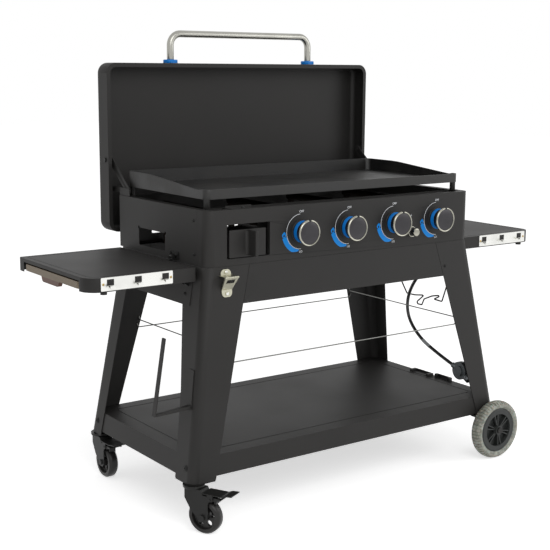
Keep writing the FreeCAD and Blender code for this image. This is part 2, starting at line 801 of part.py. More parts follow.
def firebox_shell():
    """Sides, back and inner front wall in folded sheet, with flanges top and bottom."""
    half = BOX_HALF_X
    t = SHEET
    base = BOX_BASE_Z
    top = BOX_TOP_Z
    y0 = PANEL_SEAM_Y
    y1 = BOX_BACK_Y
    outer = slab("xy", ((-half, y0), (half, y0), (half, y1), (-half, y1)), base, top, [0, 0, 3.0, 3.0])
    inner = slab(
        "xy",
        ((-half + t, y0 - 1), (half - t, y0 - 1), (half - t, y1 - t), (-half + t, y1 - t)),
        base - 1,
        top + 1,
        [0, 0, 1.5, 1.5],
    )
    walls = outer.cut(inner)
    parts = [walls]
    for side in (-1, 1):
        x_in = side * (half - t / 2)
        parts.append(box((x_in, side * (half - BOX_FLANGE)), (y0, y1 - t / 2), (top - t, top)))
        parts.append(box((x_in, side * (half - BOX_FLANGE)), (y0, y1 - t / 2), (base, base + t)))
        joggle = side * (half - 2 * t - SEAT)
        parts.append(box((side * (half - t / 2), joggle), (y0, y0 + t), (base, top)))
        parts.append(box((joggle, joggle + side * t), (PANEL_CORNER_R, y0 + t), (base, top - t - 4)))
    parts.append(box((-half + t, half - t), (y1 - BOX_FLANGE, y1 - t / 2), (top - t, top)))
    parts.append(box((-half + t, half - t), (y1 - BOX_FLANGE, y1 - t / 2), (base, base + t)))
    front_y = y0 + 14.0
    wall = box((-half + t / 2, half - t / 2), (front_y, front_y + t), (base, top - t / 2))
    parts.append(wall)
    shell = fuse(*parts)
    cuts = []
    for side in (-1, 1):
        x_pair = (side * (half - 6), side * (half + 1))
        hold = round_slab("yz", HAND_HOLD_Y, HAND_HOLD_Z, min(x_pair), max(x_pair), 6.0)
        cuts.append(hold)
        for y in HAND_HOLD_Y:
            cuts.append(rod(5.0, (min(x_pair), y, HAND_HOLD_Z[1]), (max(x_pair), y, HAND_HOLD_Z[1])))
    for x in KNOB_X:
        cuts.append(rod(13.0, (x, front_y - 2, KNOB_Z), (x, front_y + 4, KNOB_Z)))
    tray = (TRAY_X[0] - 2, TRAY_X[1] + 2)
    cuts.append(box(tray, (front_y - 1, front_y + t + 1), (TRAY_Z[0] - 4, TRAY_Z[1])))
    slots = 9
    pitch = 90.0
    for i in range(slots):
        x = (i - (slots - 1) / 2) * pitch
        cuts.append(round_slab("xz", (x - 28, x + 28), (base + 30, base + 40), y1 - 4, y1 + 1, 4.5))
    for shape in cuts:
        shell = shell.cut(shape)
    guides = []
    for x in (TRAY_FACE_X[0] + 2.0, TRAY_FACE_X[1] - 2.0):
        z = TRAY_Z[0] + TRAY_GAP - 0.5
        guides.append(box((x - 5, x + 5), (front_y + t / 2, front_y + TRAY_DEPTH), (z - 2.0, z)))
        guides.append(box((x - 5, x + 5), (front_y + TRAY_DEPTH - 2, front_y + TRAY_DEPTH), (base, z)))
    for x in (TRAY_FACE_X[0] + 2.0, TRAY_FACE_X[1] - 2.0):
        guides.append(box((x - 5, x + 5), (front_y + TRAY_DEPTH - 30, front_y + TRAY_DEPTH), (base, base + t)))
    strap = box((-half + t / 2, half - t / 2), (front_y + TRAY_DEPTH - 2, front_y + TRAY_DEPTH), (base, base + 16))
    return fuse(shell, strap, *guides)


def control_panel():
    """The front panel, wrapped around both corners, with its tray window and holes."""
    half = BOX_HALF_X
    t = SHEET
    r = PANEL_CORNER_R
    top = BOX_TOP_Z
    seam = PANEL_SEAM_Y - SEAT
    outer = slab("xy", ((-half, 0), (half, 0), (half, seam), (-half, seam)), BOX_BASE_Z, top, [r, r, 0, 0])
    inner = slab(
        "xy",
        ((-half + t, t), (half - t, t), (half - t, seam + 1), (-half + t, seam + 1)),
        BOX_BASE_Z - 1,
        top - t,
        [r - t, r - t, 0, 0],
    )
    deck_cut = slab(
        "xy",
        ((-half + BOX_FLANGE, BOX_FLANGE), (half - BOX_FLANGE, BOX_FLANGE), (half - BOX_FLANGE, seam + 1), (-half + BOX_FLANGE, seam + 1)),
        top - 5,
        top + 1,
        [4.0, 4.0, 0, 0],
    )
    panel = outer.cut(inner).cut(deck_cut)
    lip = box((-half + r, half - r), (t / 2, 16.0), (BOX_BASE_Z, BOX_BASE_Z + t))
    panel = panel.fuse(lip)
    window = round_slab("xz", TRAY_X, TRAY_Z, -1, t + 1, 4.0)
    sleeve_out = round_slab("xz", (TRAY_X[0] - 1.2, TRAY_X[1] + 1.2), (TRAY_Z[0] - 1.2, TRAY_Z[1] + 1.2), t / 2, 14.0, 5.0)
    panel = panel.fuse(sleeve_out)
    panel = panel.cut(round_slab("xz", TRAY_X, TRAY_Z, -1, 20, 4.0))
    for x in KNOB_X:
        panel = panel.cut(rod(12.0, (x, -1, KNOB_Z), (x, t + 1, KNOB_Z)))
    x, z = IGNITER_AT
    panel = panel.cut(rod(IGNITER_R + 0.2, (x, -1, z), (x, t + 1, z)))
    return panel.removeSplitter()


def bezel(x):
    """The raised ring around a knob, with three feet on the panel."""
    front = -RING_DEPTH
    shape = rod(RING_R, (x, -SEAT, KNOB_Z), (x, front, KNOB_Z))
    shape = shape.makeChamfer(2.2, [e for e in shape.Edges if abs(e.CenterOfMass.y - front) < 0.01 and e.Length > 10])
    bore = rod(RING_BORE_R, (x, -2.0, KNOB_Z), (x, front - 1, KNOB_Z))
    hub = rod(12.5, (x, 0, KNOB_Z), (x, -3, KNOB_Z))
    return shape.cut(bore).cut(hub)


def hose_line():
    """Where the hose starts, and the direction of its first run."""
    start = V(*HOSE_POINTS[0])
    return start, (V(*HOSE_POINTS[1]) - start).normalize()


def elbow():
    """The corner of the manifold, on the line of the hose's first run."""
    start, run = hose_line()
    return start - run * ((MANIFOLD_Z - start.z) / -run.z)


def valve(x):
    """A gas valve: body behind the panel, its collar through the panel and its stem."""
    body = box((x - 15, x + 15), (6.0, 46.0), (KNOB_Z - 16, KNOB_Z + 16))
    collar = rod(11.0, (x, -1.6, KNOB_Z), (x, 8.0, KNOB_Z))
    stem = rod(STEM_R, (x, -26.0, KNOB_Z), (x, 0, KNOB_Z))
    orifice = rod(6.0, (x, 46.0, KNOB_Z), (x, 57.0, KNOB_Z))
    y = elbow().y
    inlet = rod(6.0, (x, y, MANIFOLD_Z + MANIFOLD_R), (x, y, KNOB_Z - 10))
    return fuse(body, collar, stem, orifice, inlet)


def gas_manifold():
    """The supply pipe under the valves, with the inlet elbow at its right end."""
    start, run = hose_line()
    corner = elbow()
    y = corner.y
    z = MANIFOLD_Z
    pipe = bent_rod(((KNOB_X[0] - 28, y, z), tuple(corner), tuple(start - run * 6.0)), MANIFOLD_R, 12.0)
    nut = Part.makeCylinder(11.0, 18.0, start - run * 18.02, run)
    saddles = []
    for x in (KNOB_X[0] - 20, (KNOB_X[1] + KNOB_X[2]) / 2, KNOB_X[3] + 50):
        saddles.append(box((x - 6, x + 6), (SHEET + SEAT, y), (z - 4, z + 4)))
    shape = fuse(pipe, nut, *saddles)
    for x in KNOB_X:
        shape = shape.cut(rod(6.0, (x, y, z + MANIFOLD_R - SEAT), (x, y, KNOB_Z)))
    return shape


def burner(knob_x, burner_x):
    """A tube burner with its bent venturi and a bracket leg at its far end."""
    z = 846.0
    r = 12.5
    path = ((knob_x, 70.0, KNOB_Z), (knob_x, 96.0, KNOB_Z + 2), (burner_x, 178.0, z), (burner_x, 462.0, z))
    if abs(knob_x - burner_x) < 1.0:
        path = ((knob_x, 70.0, KNOB_Z), (knob_x, 110.0, KNOB_Z + 2), (burner_x, 170.0, z), (burner_x, 462.0, z))
    tube = bent_rod(path, r, 10.0)
    foot = box((burner_x - 12, burner_x + 12), (450.0, 452.0), (BOX_BASE_Z + SHEET + SEAT, z))
    rear = box((burner_x - 12, burner_x + 12), (450.0, BOX_BACK_Y - SHEET - SEAT), (BOX_BASE_Z + SHEET + SEAT, BOX_BASE_Z + SHEET + SEAT + 2))
    bell = rod(15.5, (knob_x, PANEL_SEAM_Y + 14 + SHEET + SEAT, KNOB_Z), (knob_x, 80.0, KNOB_Z))
    return fuse(tube, foot, rear, bell)


def burners():
    xs = (-360.0, -120.0, 120.0, 360.0)
    knobs = KNOB_X
    return group([burner(k, b) for k, b in zip(knobs, xs)])


def knob(x):
    """A knob with a domed, fluted cap and a bore for the valve's stem."""
    front = KNOB_FRONT_Y
    back = KNOB_BACK_Y
    profile = (
        (0, back),
        (RING_BORE_R - 1.5, back),
        (RING_BORE_R - 1.5, back + 0.0 - 1.0),
        (KNOB_SKIRT_R, back - 2.0),
        (KNOB_SKIRT_R, back - 8.0),
        (KNOB_R, back - 10.0),
        (KNOB_R - 1.5, front + 3.0),
        (KNOB_R - 4.5, front),
        (0, front),
    )
    wire = Part.makePolygon([V(x + r, y, KNOB_Z) for r, y in profile] + [V(x + profile[0][0], profile[0][1], KNOB_Z)])
    body = Part.Face(wire).revolve(V(x, 0, KNOB_Z), Y_AXIS, 360)
    flutes = 20
    for i in range(flutes):
        a = 2 * math.pi * i / flutes
        px = x + (KNOB_R + 1.4) * math.cos(a)
        pz = KNOB_Z + (KNOB_R + 1.4) * math.sin(a)
        body = body.cut(rod(3.0, (px, front - 1, pz), (px, back - 9.5, pz)))
    body = body.cut(rod(STEM_R + PIVOT_GAP, (x, back + 1, KNOB_Z), (x, -26.5, KNOB_Z)))
    return body


def igniter_collar():
    x, z = IGNITER_AT
    shape = rod(IGNITER_COLLAR_R, (x, -SEAT, z), (x, -9.0, z))
    edges = [e for e in shape.Edges if abs(e.CenterOfMass.y + 9.0) < 0.01 and e.Length > 10]
    shape = shape.makeFillet(2.5, edges)
    barrel = rod(IGNITER_COLLAR_R - 0.5, (x, SHEET + SEAT, z), (x, 38.0, z))
    neck = rod(IGNITER_R, (x, -1, z), (x, SHEET + 1, z))
    shape = fuse(shape, barrel, neck)
    return shape.cut(rod(IGNITER_R - 1.0, (x, -10, z), (x, 24.0, z)))


def igniter_button():
    x, z = IGNITER_AT
    r = IGNITER_R - 1.0 - PIVOT_GAP
    shape = rod(r, (x, -21.0, z), (x, 17.0, z))
    edges = [e for e in shape.Edges if abs(e.CenterOfMass.y + 21.0) < 0.01 and e.Length > 10]
    return shape.makeFillet(2.0, edges)


def grease_tray():
    """The sliding grease tray: front plate, tub and an upright folded grip."""
    x0, x1 = TRAY_FACE_X
    z0, z1 = TRAY_Z[0] + TRAY_GAP, TRAY_FACE_TOP_Z
    front = round_slab("xz", (x0, x1), (z0, z1), 0.5, 2.5, 3.0)
    y1 = PANEL_SEAM_Y + 14.0 + TRAY_DEPTH - 10.0
    tub = box((x0 + 1.0, x1 - 1.0), (2.0, y1), (z0, z1 - 8.0))
    hollow = box((x0 + 2.5, x1 - 2.5), (4.0, y1 - 1.5), (z0 + 1.5, z1))
    grip_z = (z0 + 4.0, z1 - 2.0)
    grip = round_slab("yz", (-GRIP_REACH, 1.0), grip_z, GRIP_X[0], GRIP_X[1], 3.0)
    edges = [e for e in grip.Edges if abs(e.CenterOfMass.y + GRIP_REACH) < 0.01 and e.Length > 20]
    grip = grip.makeFillet(3.0, edges)
    root = slab(
        "xy",
        ((GRIP_X[0] - 12.0, 1.0), (GRIP_X[0] + 1.0, 1.0), (GRIP_X[0] + 1.0, -12.0), (GRIP_X[0], -12.0), (GRIP_X[0], 0.5)),
        grip_z[0] + 3.0,
        grip_z[1] - 3.0,
        [0, 0, 0, 0, 10.0],
    )
    return fuse(front, tub.cut(hollow), grip, root)


# Griddle plate


def griddle_plate():
    """The cooking plate with its sloping side walls, front lip, drain hole and four feet."""
    hx = PLATE_HALF_X
    y0, y1 = PLATE_Y
    z0 = PLATE_BASE_Z
    t = PLATE_SHEET
    r = PLATE_CORNER_R
    rect = ((-hx, y0), (hx, y0), (hx, y1), (-hx, y1))
    inner = ((-hx + t, y0 + t), (hx - t, y0 + t), (hx - t, y1 - t), (-hx + t, y1 - t))
    body = slab("xy", rect, z0 - 3.5, PLATE_BACK_Z, [r] * 4)
    pan = slab("xy", inner, z0 + t, PLATE_BACK_Z + 1, [r - t] * 4)
    body = body.cut(pan)
    slope = slab(
        "yz",
        (
            (y0 - 1, PLATE_FRONT_Z),
            (y0 + 26, PLATE_FRONT_Z),
            (PLATE_LOW_Y, PLATE_LOW_Z),
            (PLATE_HIGH_Y - 20, PLATE_BACK_Z - 1.5),
            (PLATE_HIGH_Y + 30, PLATE_BACK_Z + 0.5),
            (PLATE_HIGH_Y + 30, PLATE_BACK_Z + 5),
            (y0 - 1, PLATE_BACK_Z + 5),
        ),
        -hx - 1,
        hx + 1,
        [0, 20.0, 40.0, 40.0, 0, 0, 0],
    )
    body = body.cut(slope)
    drain = round_slab("xy", (-404.0, -349.0), (y0 + 8, y0 + 26), z0 - 6, z0 + t + 1, 7.0)
    body = body.cut(drain)
    feet = []
    for x in (-hx + 12, hx - 12):
        for y in (y0 + 14, y1 - 14):
            feet.append(rod(FOOT_R, (x, y, BOX_TOP_Z + SEAT), (x, y, z0)))
    return fuse(body, *feet)


def grease_chute():
    """The plate that leads grease from the drain hole down to the tray."""
    x0, x1 = -420.0, -333.0
    y = 28.0
    t = SHEET
    z = BOX_TOP_Z + SEAT
    front = 4.0
    lip = slab(
        "yz",
        ((front, z), (y + 13, z), (y + 31, z - 22), (y + 32.5, z - 21), (y + 15, z + t), (front, z + t)),
        x0,
        x1,
    )
    wall = slab("yz", ((y, z), (y + t, z), (y + t, z + 7), (y, z + 7)), x0, x1)
    return fuse(lip, wall)


# Lid


def lid_block(half_x, z_pair, rim_y, back_y, corner_r, edge_r):
    """A rounded drawn form: straight at the rim, rounded into the back."""
    shape = round_slab("xz", (-half_x, half_x), z_pair, rim_y, back_y, corner_r)
    edges = [e for e in shape.Edges if abs(e.CenterOfMass.y - back_y) < 0.01]
    return shape.makeFillet(edge_r, edges)


def lid():
    """The drawn lid, with its inward lip and the two hinge bosses on its side walls."""
    t = LID_SHEET
    z0, z1 = LID_Z
    outer = lid_block(LID_HALF_X, LID_Z, LID_RIM_Y, LID_BACK_Y, LID_CORNER_R, LID_EDGE_R)
    inner = lid_block(LID_HALF_X - t, (z0 + t, z1 - t), LID_RIM_Y + t, LID_BACK_Y - t, LID_CORNER_R - t, LID_EDGE_R - t)
    mouth = round_slab(
        "xz",
        (-LID_HALF_X + LID_LIP, LID_HALF_X - LID_LIP),
        (z0 + LID_LIP, z1 - LID_LIP),
        LID_RIM_Y - 1,
        LID_RIM_Y + 10,
        LID_CORNER_R - LID_LIP,
    )
    shape = outer.cut(inner).cut(mouth)
    bosses = []
    by, bz = LINK_B
    sy, sz = STRUT_B
    for side in (-1, 1):
        wall = side * (LID_HALF_X - t / 2)
        bosses.append(rod(9.0, (wall, by, bz), (side * (LINK_X[1] + 0.5), by, bz)))
        bosses.append(rod(8.0, (wall, sy, sz), (side * (STRUT_X[1] + 1.6), sy, sz)))
        bosses.append(rod(PIVOT_R, (side * LINK_X[1], by, bz), (side * (LINK_X[0] - 0.6), by, bz)))
        bosses.append(rod(PIVOT_HEAD_R, (side * (LINK_X[0] - 0.4), by, bz), (side * (LINK_X[0] - 0.4 - 1.3), by, bz)))
    return fuse(shape, *bosses)


def link(side, a, b, half_w, x_pair, pin_r_a, pin_r_b):
    """A flat bar between two pivots with rounded ends."""
    ya, za = a
    yb, zb = b
    length = math.hypot(yb - ya, zb - za)
    uy, uz = (yb - ya) / length, (zb - za) / length
    ny, nz = -uz, uy
    w = half_w
    corners = (
        (ya + ny * w, za + nz * w),
        (ya - ny * w, za - nz * w),
        (yb - ny * w, zb - nz * w),
        (yb + ny * w, zb + nz * w),
    )
    x0, x1 = x_pair
    bar = slab("yz", corners, x0, x1)
    bar = fuse(bar, rod(w, (x0, ya, za), (x1, ya, za)), rod(w, (x0, yb, zb), (x1, yb, zb)))
    if pin_r_a:
        bar = bar.cut(rod(pin_r_a, (x0 - 1, ya, za), (x1 + 1, ya, za)))
    if pin_r_b:
        bar = bar.cut(rod(pin_r_b, (x0 - 1, yb, zb), (x1 + 1, yb, zb)))
    return sided(bar, side)


def lid_link(side):
    bore = PIVOT_R + PIVOT_GAP
    return link(side, LINK_A, LINK_B, LINK_HALF_W, LINK_X, bore, bore)


def lid_strut(side):
    """The short link, with the pivot pin that its free end carries."""
    bore = PIVOT_R + PIVOT_GAP
    bar = link(1, STRUT_A, STRUT_B, STRUT_HALF_W, STRUT_X, bore, None)
    y, z = STRUT_B
    stud = rod(6.0, (STRUT_X[1] - 0.5, y, z), (STRUT_X[1] + 1.2, y, z))
    head = rod(PIVOT_HEAD_R - 1, (STRUT_X[0] + 0.5, y, z), (STRUT_X[0] - 1.6, y, z))
    return sided(fuse(bar, stud, head), side)


def lid_bracket(side):
    """The fixed bracket on the firebox's flange that carries both links on its pins."""
    x0, x1 = BRACKET_X
    base = BOX_TOP_Z + SEAT
    y0, y1 = LINK_A[0] - 13, 497.0
    top = LINK_A[1] + 9
    cheek = slab("yz", ((y0, base), (y1, base), (y1, top), (y0, top)), x0, x1, [0, 0, 7.0, 7.0])
    foot = box((x0 - 3.0, x1), (LINK_A[0] + 14, STRUT_A[0] - 13), (base, base + 2.0))
    pins = []
    ya, za = LINK_A
    pins.append(rod(PIVOT_R, (x0 + 0.5, ya, za), (LINK_X[0] - 0.6, ya, za)))
    pins.append(rod(PIVOT_HEAD_R, (LINK_X[0] - 0.4, ya, za), (LINK_X[0] - 1.7, ya, za)))
    ys, zs = STRUT_A
    pins.append(rod(6.5, (x0 + 0.5, ys, zs), (STRUT_X[1] + 0.4, ys, zs)))
    pins.append(rod(PIVOT_R, (STRUT_X[1] + 0.5, ys, zs), (STRUT_X[0] - 0.6, ys, zs)))
    pins.append(rod(PIVOT_HEAD_R - 1, (STRUT_X[0] - 0.4, ys, zs), (STRUT_X[0] - 1.7, ys, zs)))
    return sided(fuse(cheek, foot, *pins), side)


def lid_handle():
    """The bent tube handle."""
    z0 = LID_Z[1] + SEAT
    path = (
        (-HANDLE_POST_X, HANDLE_Y, z0),
        (-HANDLE_POST_X, HANDLE_Y, HANDLE_TOP_Z),
        (HANDLE_POST_X, HANDLE_Y, HANDLE_TOP_Z),
        (HANDLE_POST_X, HANDLE_Y, z0),
    )
    tube = bent_rod(path, HANDLE_R, HANDLE_BEND_R)
    core = bent_rod(path, HANDLE_R - HANDLE_WALL, HANDLE_BEND_R)
    return tube.cut(core)


def handle_bezel(x):
    """The collar at the foot of a handle post."""
    z0 = LID_Z[1] + SEAT
    half_l = BEZEL_L / 2
    half_w = BEZEL_W / 2
    shape = round_slab("xy", (x - half_l, x + half_l), (HANDLE_Y - half_w, HANDLE_Y + half_w), z0, z0 + BEZEL_H, half_w - 0.5)
    edges = [e for e in shape.Edges if abs(e.CenterOfMass.z - z0 - BEZEL_H) < 0.01]
    shape = shape.makeFillet(3.0, edges)
    return shape.cut(rod(HANDLE_R + 0.05, (x, HANDLE_Y, z0 - 1), (x, HANDLE_Y, z0 + BEZEL_H + 1)))


def lid_bolts():
    """Bolt heads of the lid's hinge on the outer walls, and the handle's screws inside the lid."""
    heads = []
    for side in (-1, 1):
        x = side * (LID_HALF_X + SEAT)
        heads.append(rod(7.0, (x, LINK_B[0], LINK_B[1]), (x + side * 3.5, LINK_B[0], LINK_B[1])))
    z = LID_Z[1] - LID_SHEET - SEAT
    for x in (-HANDLE_POST_X, HANDLE_POST_X):
        heads.append(rod(8.0, (x, HANDLE_Y, z), (x, HANDLE_Y, z - 4.0)))
    return group(heads)


# Latches that lock the firebox to the cart


def latch_plate(side):
    """The base plate of a latch with its pivot pin and two bolt heads."""
    x = BOX_HALF_X + SEAT
    t = 2.0
    y0, y1 = LATCH_Y
    px, pz = LATCH_PIVOT
    plate = round_slab("yz", (y0 - 9, y1 + 9), (729.0, 752.0), x, x + t, 5.0)
    bolts = [rod(5.0, (x + t / 2, y, 744.0), (x + t + 3.2, y, 744.0)) for y in LATCH_Y]
    mid = (y0 + y1) / 2
    ears = [box((x + t / 2, px + 4.0), (mid + s * 8.0, mid + s * 10.5), (pz - 5.5, pz + 5.5)) for s in (-1, 1)]
    pin = rod(LATCH_PIN_R, (px, mid - 11.5, pz), (px, mid + 11.5, pz))
    return sided(fuse(plate, pin, *bolts, *ears), side)


def latch(side):
    """A latch lever: an eye on the pin, a hook that swings into the apron's slot and a finger tab."""
    x, z = LATCH_PIVOT
    mid = sum(LATCH_Y) / 2
    eye = rod(5.0, (x, mid - 7.5, z), (x, mid + 7.5, z))
    arm_x = x + 0.2
    hook_x = leg_x(LATCH_HOOK_Z) + SEAT + SHEET + 0.6
    lever = slab(
        "xz",
        (
            (arm_x - 1.2, z),
            (arm_x + 1.2, z),
            (arm_x + 1.2, 729.8),
            (520.0, 729.0),
            (520.0, 727.0),
            (arm_x + 1.2, 727.6),
            (arm_x + 1.2, LATCH_HOOK_Z - 1.2),
            (hook_x, LATCH_HOOK_Z - 1.2),
            (hook_x, LATCH_HOOK_Z + 1.2),
            (arm_x - 1.2, LATCH_HOOK_Z + 1.2),
        ),
        mid - 6.5,
        mid + 6.5,
    )
    bore = rod(LATCH_PIN_R + PIVOT_GAP, (x, mid - 9, z), (x, mid + 9, z))
    return sided(fuse(eye, lever).cut(bore), side)


# Casters


def turn_caster(shape, end):
    """A caster drawn about the origin with its wheel toward -Y, turned and moved to its place."""
    x, y = CASTER_AT[end]
    shape = shape.copy()
    shape.rotate(V(0, 0, 0), Z_AXIS, CASTER_TURN[end])
    shape.translate(V(x, y, 0))
    return shape


def caster_fork():
    """A pressed swivel fork: race disc, domed crown and two tapering cheeks with the axle."""
    top = LEG_FOOT_Z - FOOT_SHEET - SEAT
    race = rod(CASTER_RACE_R, (0, 0, top), (0, 0, top - 9.0))
    edges = [e for e in race.Edges if abs(e.CenterOfMass.z - top + 9.0) < 0.01 and e.Length > 10]
    race = race.makeFillet(4.0, edges)
    inside = FORK_INSIDE
    outside = inside + FORK_SHEET
    axle_z = CASTER_WHEEL_R
    trail = CASTER_TRAIL
    hood_z = FORK_HOOD_Z
    side_view = (
        (18.0, top - 8.0),
        (18.0, 100.0),
        (-2.0, 66.0),
        (-trail + 16, axle_z - 2.0),
        (-trail + 7, axle_z - 13.5),
        (-trail - 8, axle_z - 13.5),
        (-trail - 18, axle_z - 2.0),
        (-trail - 18, 98.0),
        (-98.0, hood_z[0]),
        (-98.0, hood_z[1] - 2.0),
        (-40.0, hood_z[1]),
        (-33.0, top - 8.0),
    )
    rounds = [4.0, 10.0, 10.0, 6.0, 8.0, 8.0, 8.0, 12.0, 1.5, 1.5, 4.0, 2.0]
    cheeks = slab("yz", side_view, -outside, outside, rounds)
    gap = box((-inside, inside), (-120, 40), (axle_z - 40, FORK_CROWN_Z))
    slot = box((-BRAKE_SHOE_HALF_W - 2, BRAKE_SHOE_HALF_W + 2), (-92.0, -66.0), (FORK_CROWN_Z - 4, top))
    body = cheeks.cut(gap).cut(slot)
    axle = rod(CASTER_AXLE_R, (-outside - 1, -trail, axle_z), (outside + 1, -trail, axle_z))
    heads = [rod(8.5, (s * outside, -trail, axle_z), (s * (outside + 5), -trail, axle_z)) for s in (-1, 1)]
    py, pz = BRAKE_PIVOT
    pivots = [rod(BRAKE_PIN_R, (s * (outside - 1), py, pz), (s * (outside + 4), py, pz)) for s in (-1, 1)]
    return fuse(race, body, axle, *heads, *pivots)


def caster_wheel():
    """Tyre, web and hub of a caster wheel, with five lightening holes."""
    half = CASTER_WHEEL_W / 2
    r = CASTER_WHEEL_R
    profile = (
        (CASTER_AXLE_R + PIVOT_GAP, -half - 1),
        (13.0, -half - 1),
        (14.0, -5.0),
        (33.0, -5.0),
        (36.0, -half),
        (r - 5.0, -half),
        (r, -half + 6.0),
        (r, half - 6.0),
        (r - 5.0, half),
        (36.0, half),
        (33.0, 5.0),
        (14.0, 5.0),
        (13.0, half + 1),
        (CASTER_AXLE_R + PIVOT_GAP, half + 1),
    )
    pts = [V(x, -CASTER_TRAIL, CASTER_WHEEL_R + radius) for radius, x in profile]
    wheel = Part.Face(Part.makePolygon(pts + pts[:1])).revolve(V(0, -CASTER_TRAIL, CASTER_WHEEL_R), X_AXIS, 360)
    holes = 5
    for i in range(holes):
        a = 2 * math.pi * i / holes
        y = -CASTER_TRAIL + 23.5 * math.sin(a)
        z = CASTER_WHEEL_R + 23.5 * math.cos(a)
        wheel = wheel.cut(rod(8.2, (-20, y, z), (20, y, z)))
    return wheel


def caster_brake():
    """The brake pedal: a plate over the fork's hood with side ears on its pins and a shoe for the tyre."""
    inside = FORK_INSIDE + FORK_SHEET + 0.4
    t = BRAKE_SHEET
    outer = inside + t
    y, z = BRAKE_PIVOT
    top = BRAKE_PLATE_Z
    shape = []
    for s in (-1, 1):
        ear = slab("yz", ((y - 9, z - 6), (y + 9, z - 6), (y + 9, top), (y - 9, top)), 0, t, [5.0, 5.0, 0, 0])
        ear.translate(V(inside if s > 0 else -inside - t, 0, 0))
        shape.append(ear)
    tip = BRAKE_TIP_Y
    pedal_view = (
        (-40.0, top - t),
        (-40.0, top),
        (tip + 34, top),
        (tip + 22, top + 4.5),
        (tip, top + 6.0),
        (tip, top + 6.0 - t),
        (tip + 21, top + 4.5 - t),
        (tip + 33, top - t),
    )
    shape.append(slab("yz", pedal_view, -outer, outer))
    shoe_view = ((y - 10, top - 1), (y - 20, top - 1), (y - 12, z - 16.5), (y - 6, z - 15.5))
    shape.append(slab("yz", shoe_view, -BRAKE_SHOE_HALF_W, BRAKE_SHOE_HALF_W))
    brake = fuse(*shape)
    for s in (-1, 1):
        brake = brake.cut(rod(BRAKE_PIN_R + PIVOT_GAP, (s * (inside - 1), y, z), (s * (outer + 1), y, z)))
    return brake


# Large wheels


def wheel_profile(points, y_mid):
    pts = [V(WHEEL_X + radius, y_mid + w, WHEEL_R) for radius, w in points]
    return Part.Face(Part.makePolygon(pts + pts[:1])).revolve(V(WHEEL_X, y_mid, WHEEL_R), Y_AXIS, 360)


def wheel_mid(end):
    face = WHEEL_FACE_Y[end]
    return face + WHEEL_W / 2 if end == "front" else face - WHEEL_W / 2


def tyre(end):
    half = WHEEL_W / 2
    r = WHEEL_R
    points = (
        (RIM_R + TYRE_SEAT, -half + 6),
        (RIM_R + 8, -half),
        (r - 12, -half),
        (r - 3, -half + 7),
        (r, -half + 14),
        (r, half - 14),
        (r - 3, half - 7),
        (r - 12, half),
        (RIM_R + 8, half),
        (RIM_R + TYRE_SEAT, half - 6),
    )
    return wheel_profile(points, wheel_mid(end))


def wheel_rim(end):
    """The rim: a flat face ring, a thin web, pairs of thin spokes standing on it and a hub."""
    half = WHEEL_W / 2
    y = wheel_mid(end)
    out = -1 if end == "front" else 1
    face = half - 4.0
    web = WEB_SHEET / 2
    points = (
        (RIM_R - 4, face),
        (RIM_R, face - 2),
        (RIM_R, -face + 2),
        (RIM_R - 4, -face),
        (RIM_R - 6, -face),
        (RIM_R - 6, face - 3),
        (SPOKE_OUT_R + 3, face - 3),
        (SPOKE_OUT_R + 3, -web),
        (HUB_R - 2, -web),
        (HUB_R - 2, web),
        (SPOKE_OUT_R, web),
        (SPOKE_OUT_R, face),
    )
    rim = wheel_profile([(radius, w * out) for radius, w in points], y)
    hub = ring(HUB_R, AXLE_R + PIVOT_GAP, (WHEEL_X, y - half, WHEEL_R), (WHEEL_X, y + half, WHEEL_R))
    parts = [rim, hub]
    for i in range(SPOKE_PAIRS):
        for s in (-1, 1):
            a = SPOKE_PHASE + 360.0 * i / SPOKE_PAIRS + s * SPOKE_SPREAD
            spoke = box((HUB_R - 3, SPOKE_OUT_R + 1), sorted((0.0, out * (face - 2.0))), (-SPOKE_W / 2, SPOKE_W / 2))
            spoke.rotate(V(0, 0, 0), Y_AXIS, -a)
            spoke.translate(V(WHEEL_X, y, WHEEL_R))
            parts.append(spoke)
    shape = fuse(*parts)
    return shape.cut(rod(AXLE_R + PIVOT_GAP, (WHEEL_X, y - 40, WHEEL_R), (WHEEL_X, y + 40, WHEEL_R)))


# Gas hose and regulator


def gas_hose():
    """The hose: straight runs joined by tangent arcs; prints the radii and checks the volume."""
    path = [V(*p) for p in HOSE_POINTS]
    bends = []
    for i in range(1, len(path) - 1):
        back = path[i - 1] - path[i]
        ahead = path[i + 1] - path[i]
        half_turn = (math.pi - back.getAngle(ahead)) / 2.0
        bends.append(HOSE_BEND * min(back.Length, ahead.Length) / math.tan(half_turn))
    print("hose bend radii", [round(b, 1) for b in bends])
    tube = bent_rod(HOSE_POINTS, HOSE_R, bends)
    length = 0.0
    for i in range(len(path) - 1):
        length += path[i].distanceToPoint(path[i + 1])
    for i, bend in enumerate(bends):
        back = (path[i] - path[i + 1]).normalize()
        ahead = (path[i + 2] - path[i + 1]).normalize()
        half = back.getAngle(ahead) / 2.0
        length += bend * (math.pi - 2 * half) - 2 * bend / math.tan(half)
    area = math.pi * HOSE_R ** 2
    print("hose length", round(length, 1), "volume", round(tube.Volume), "section x length", round(area * length))
    return tube


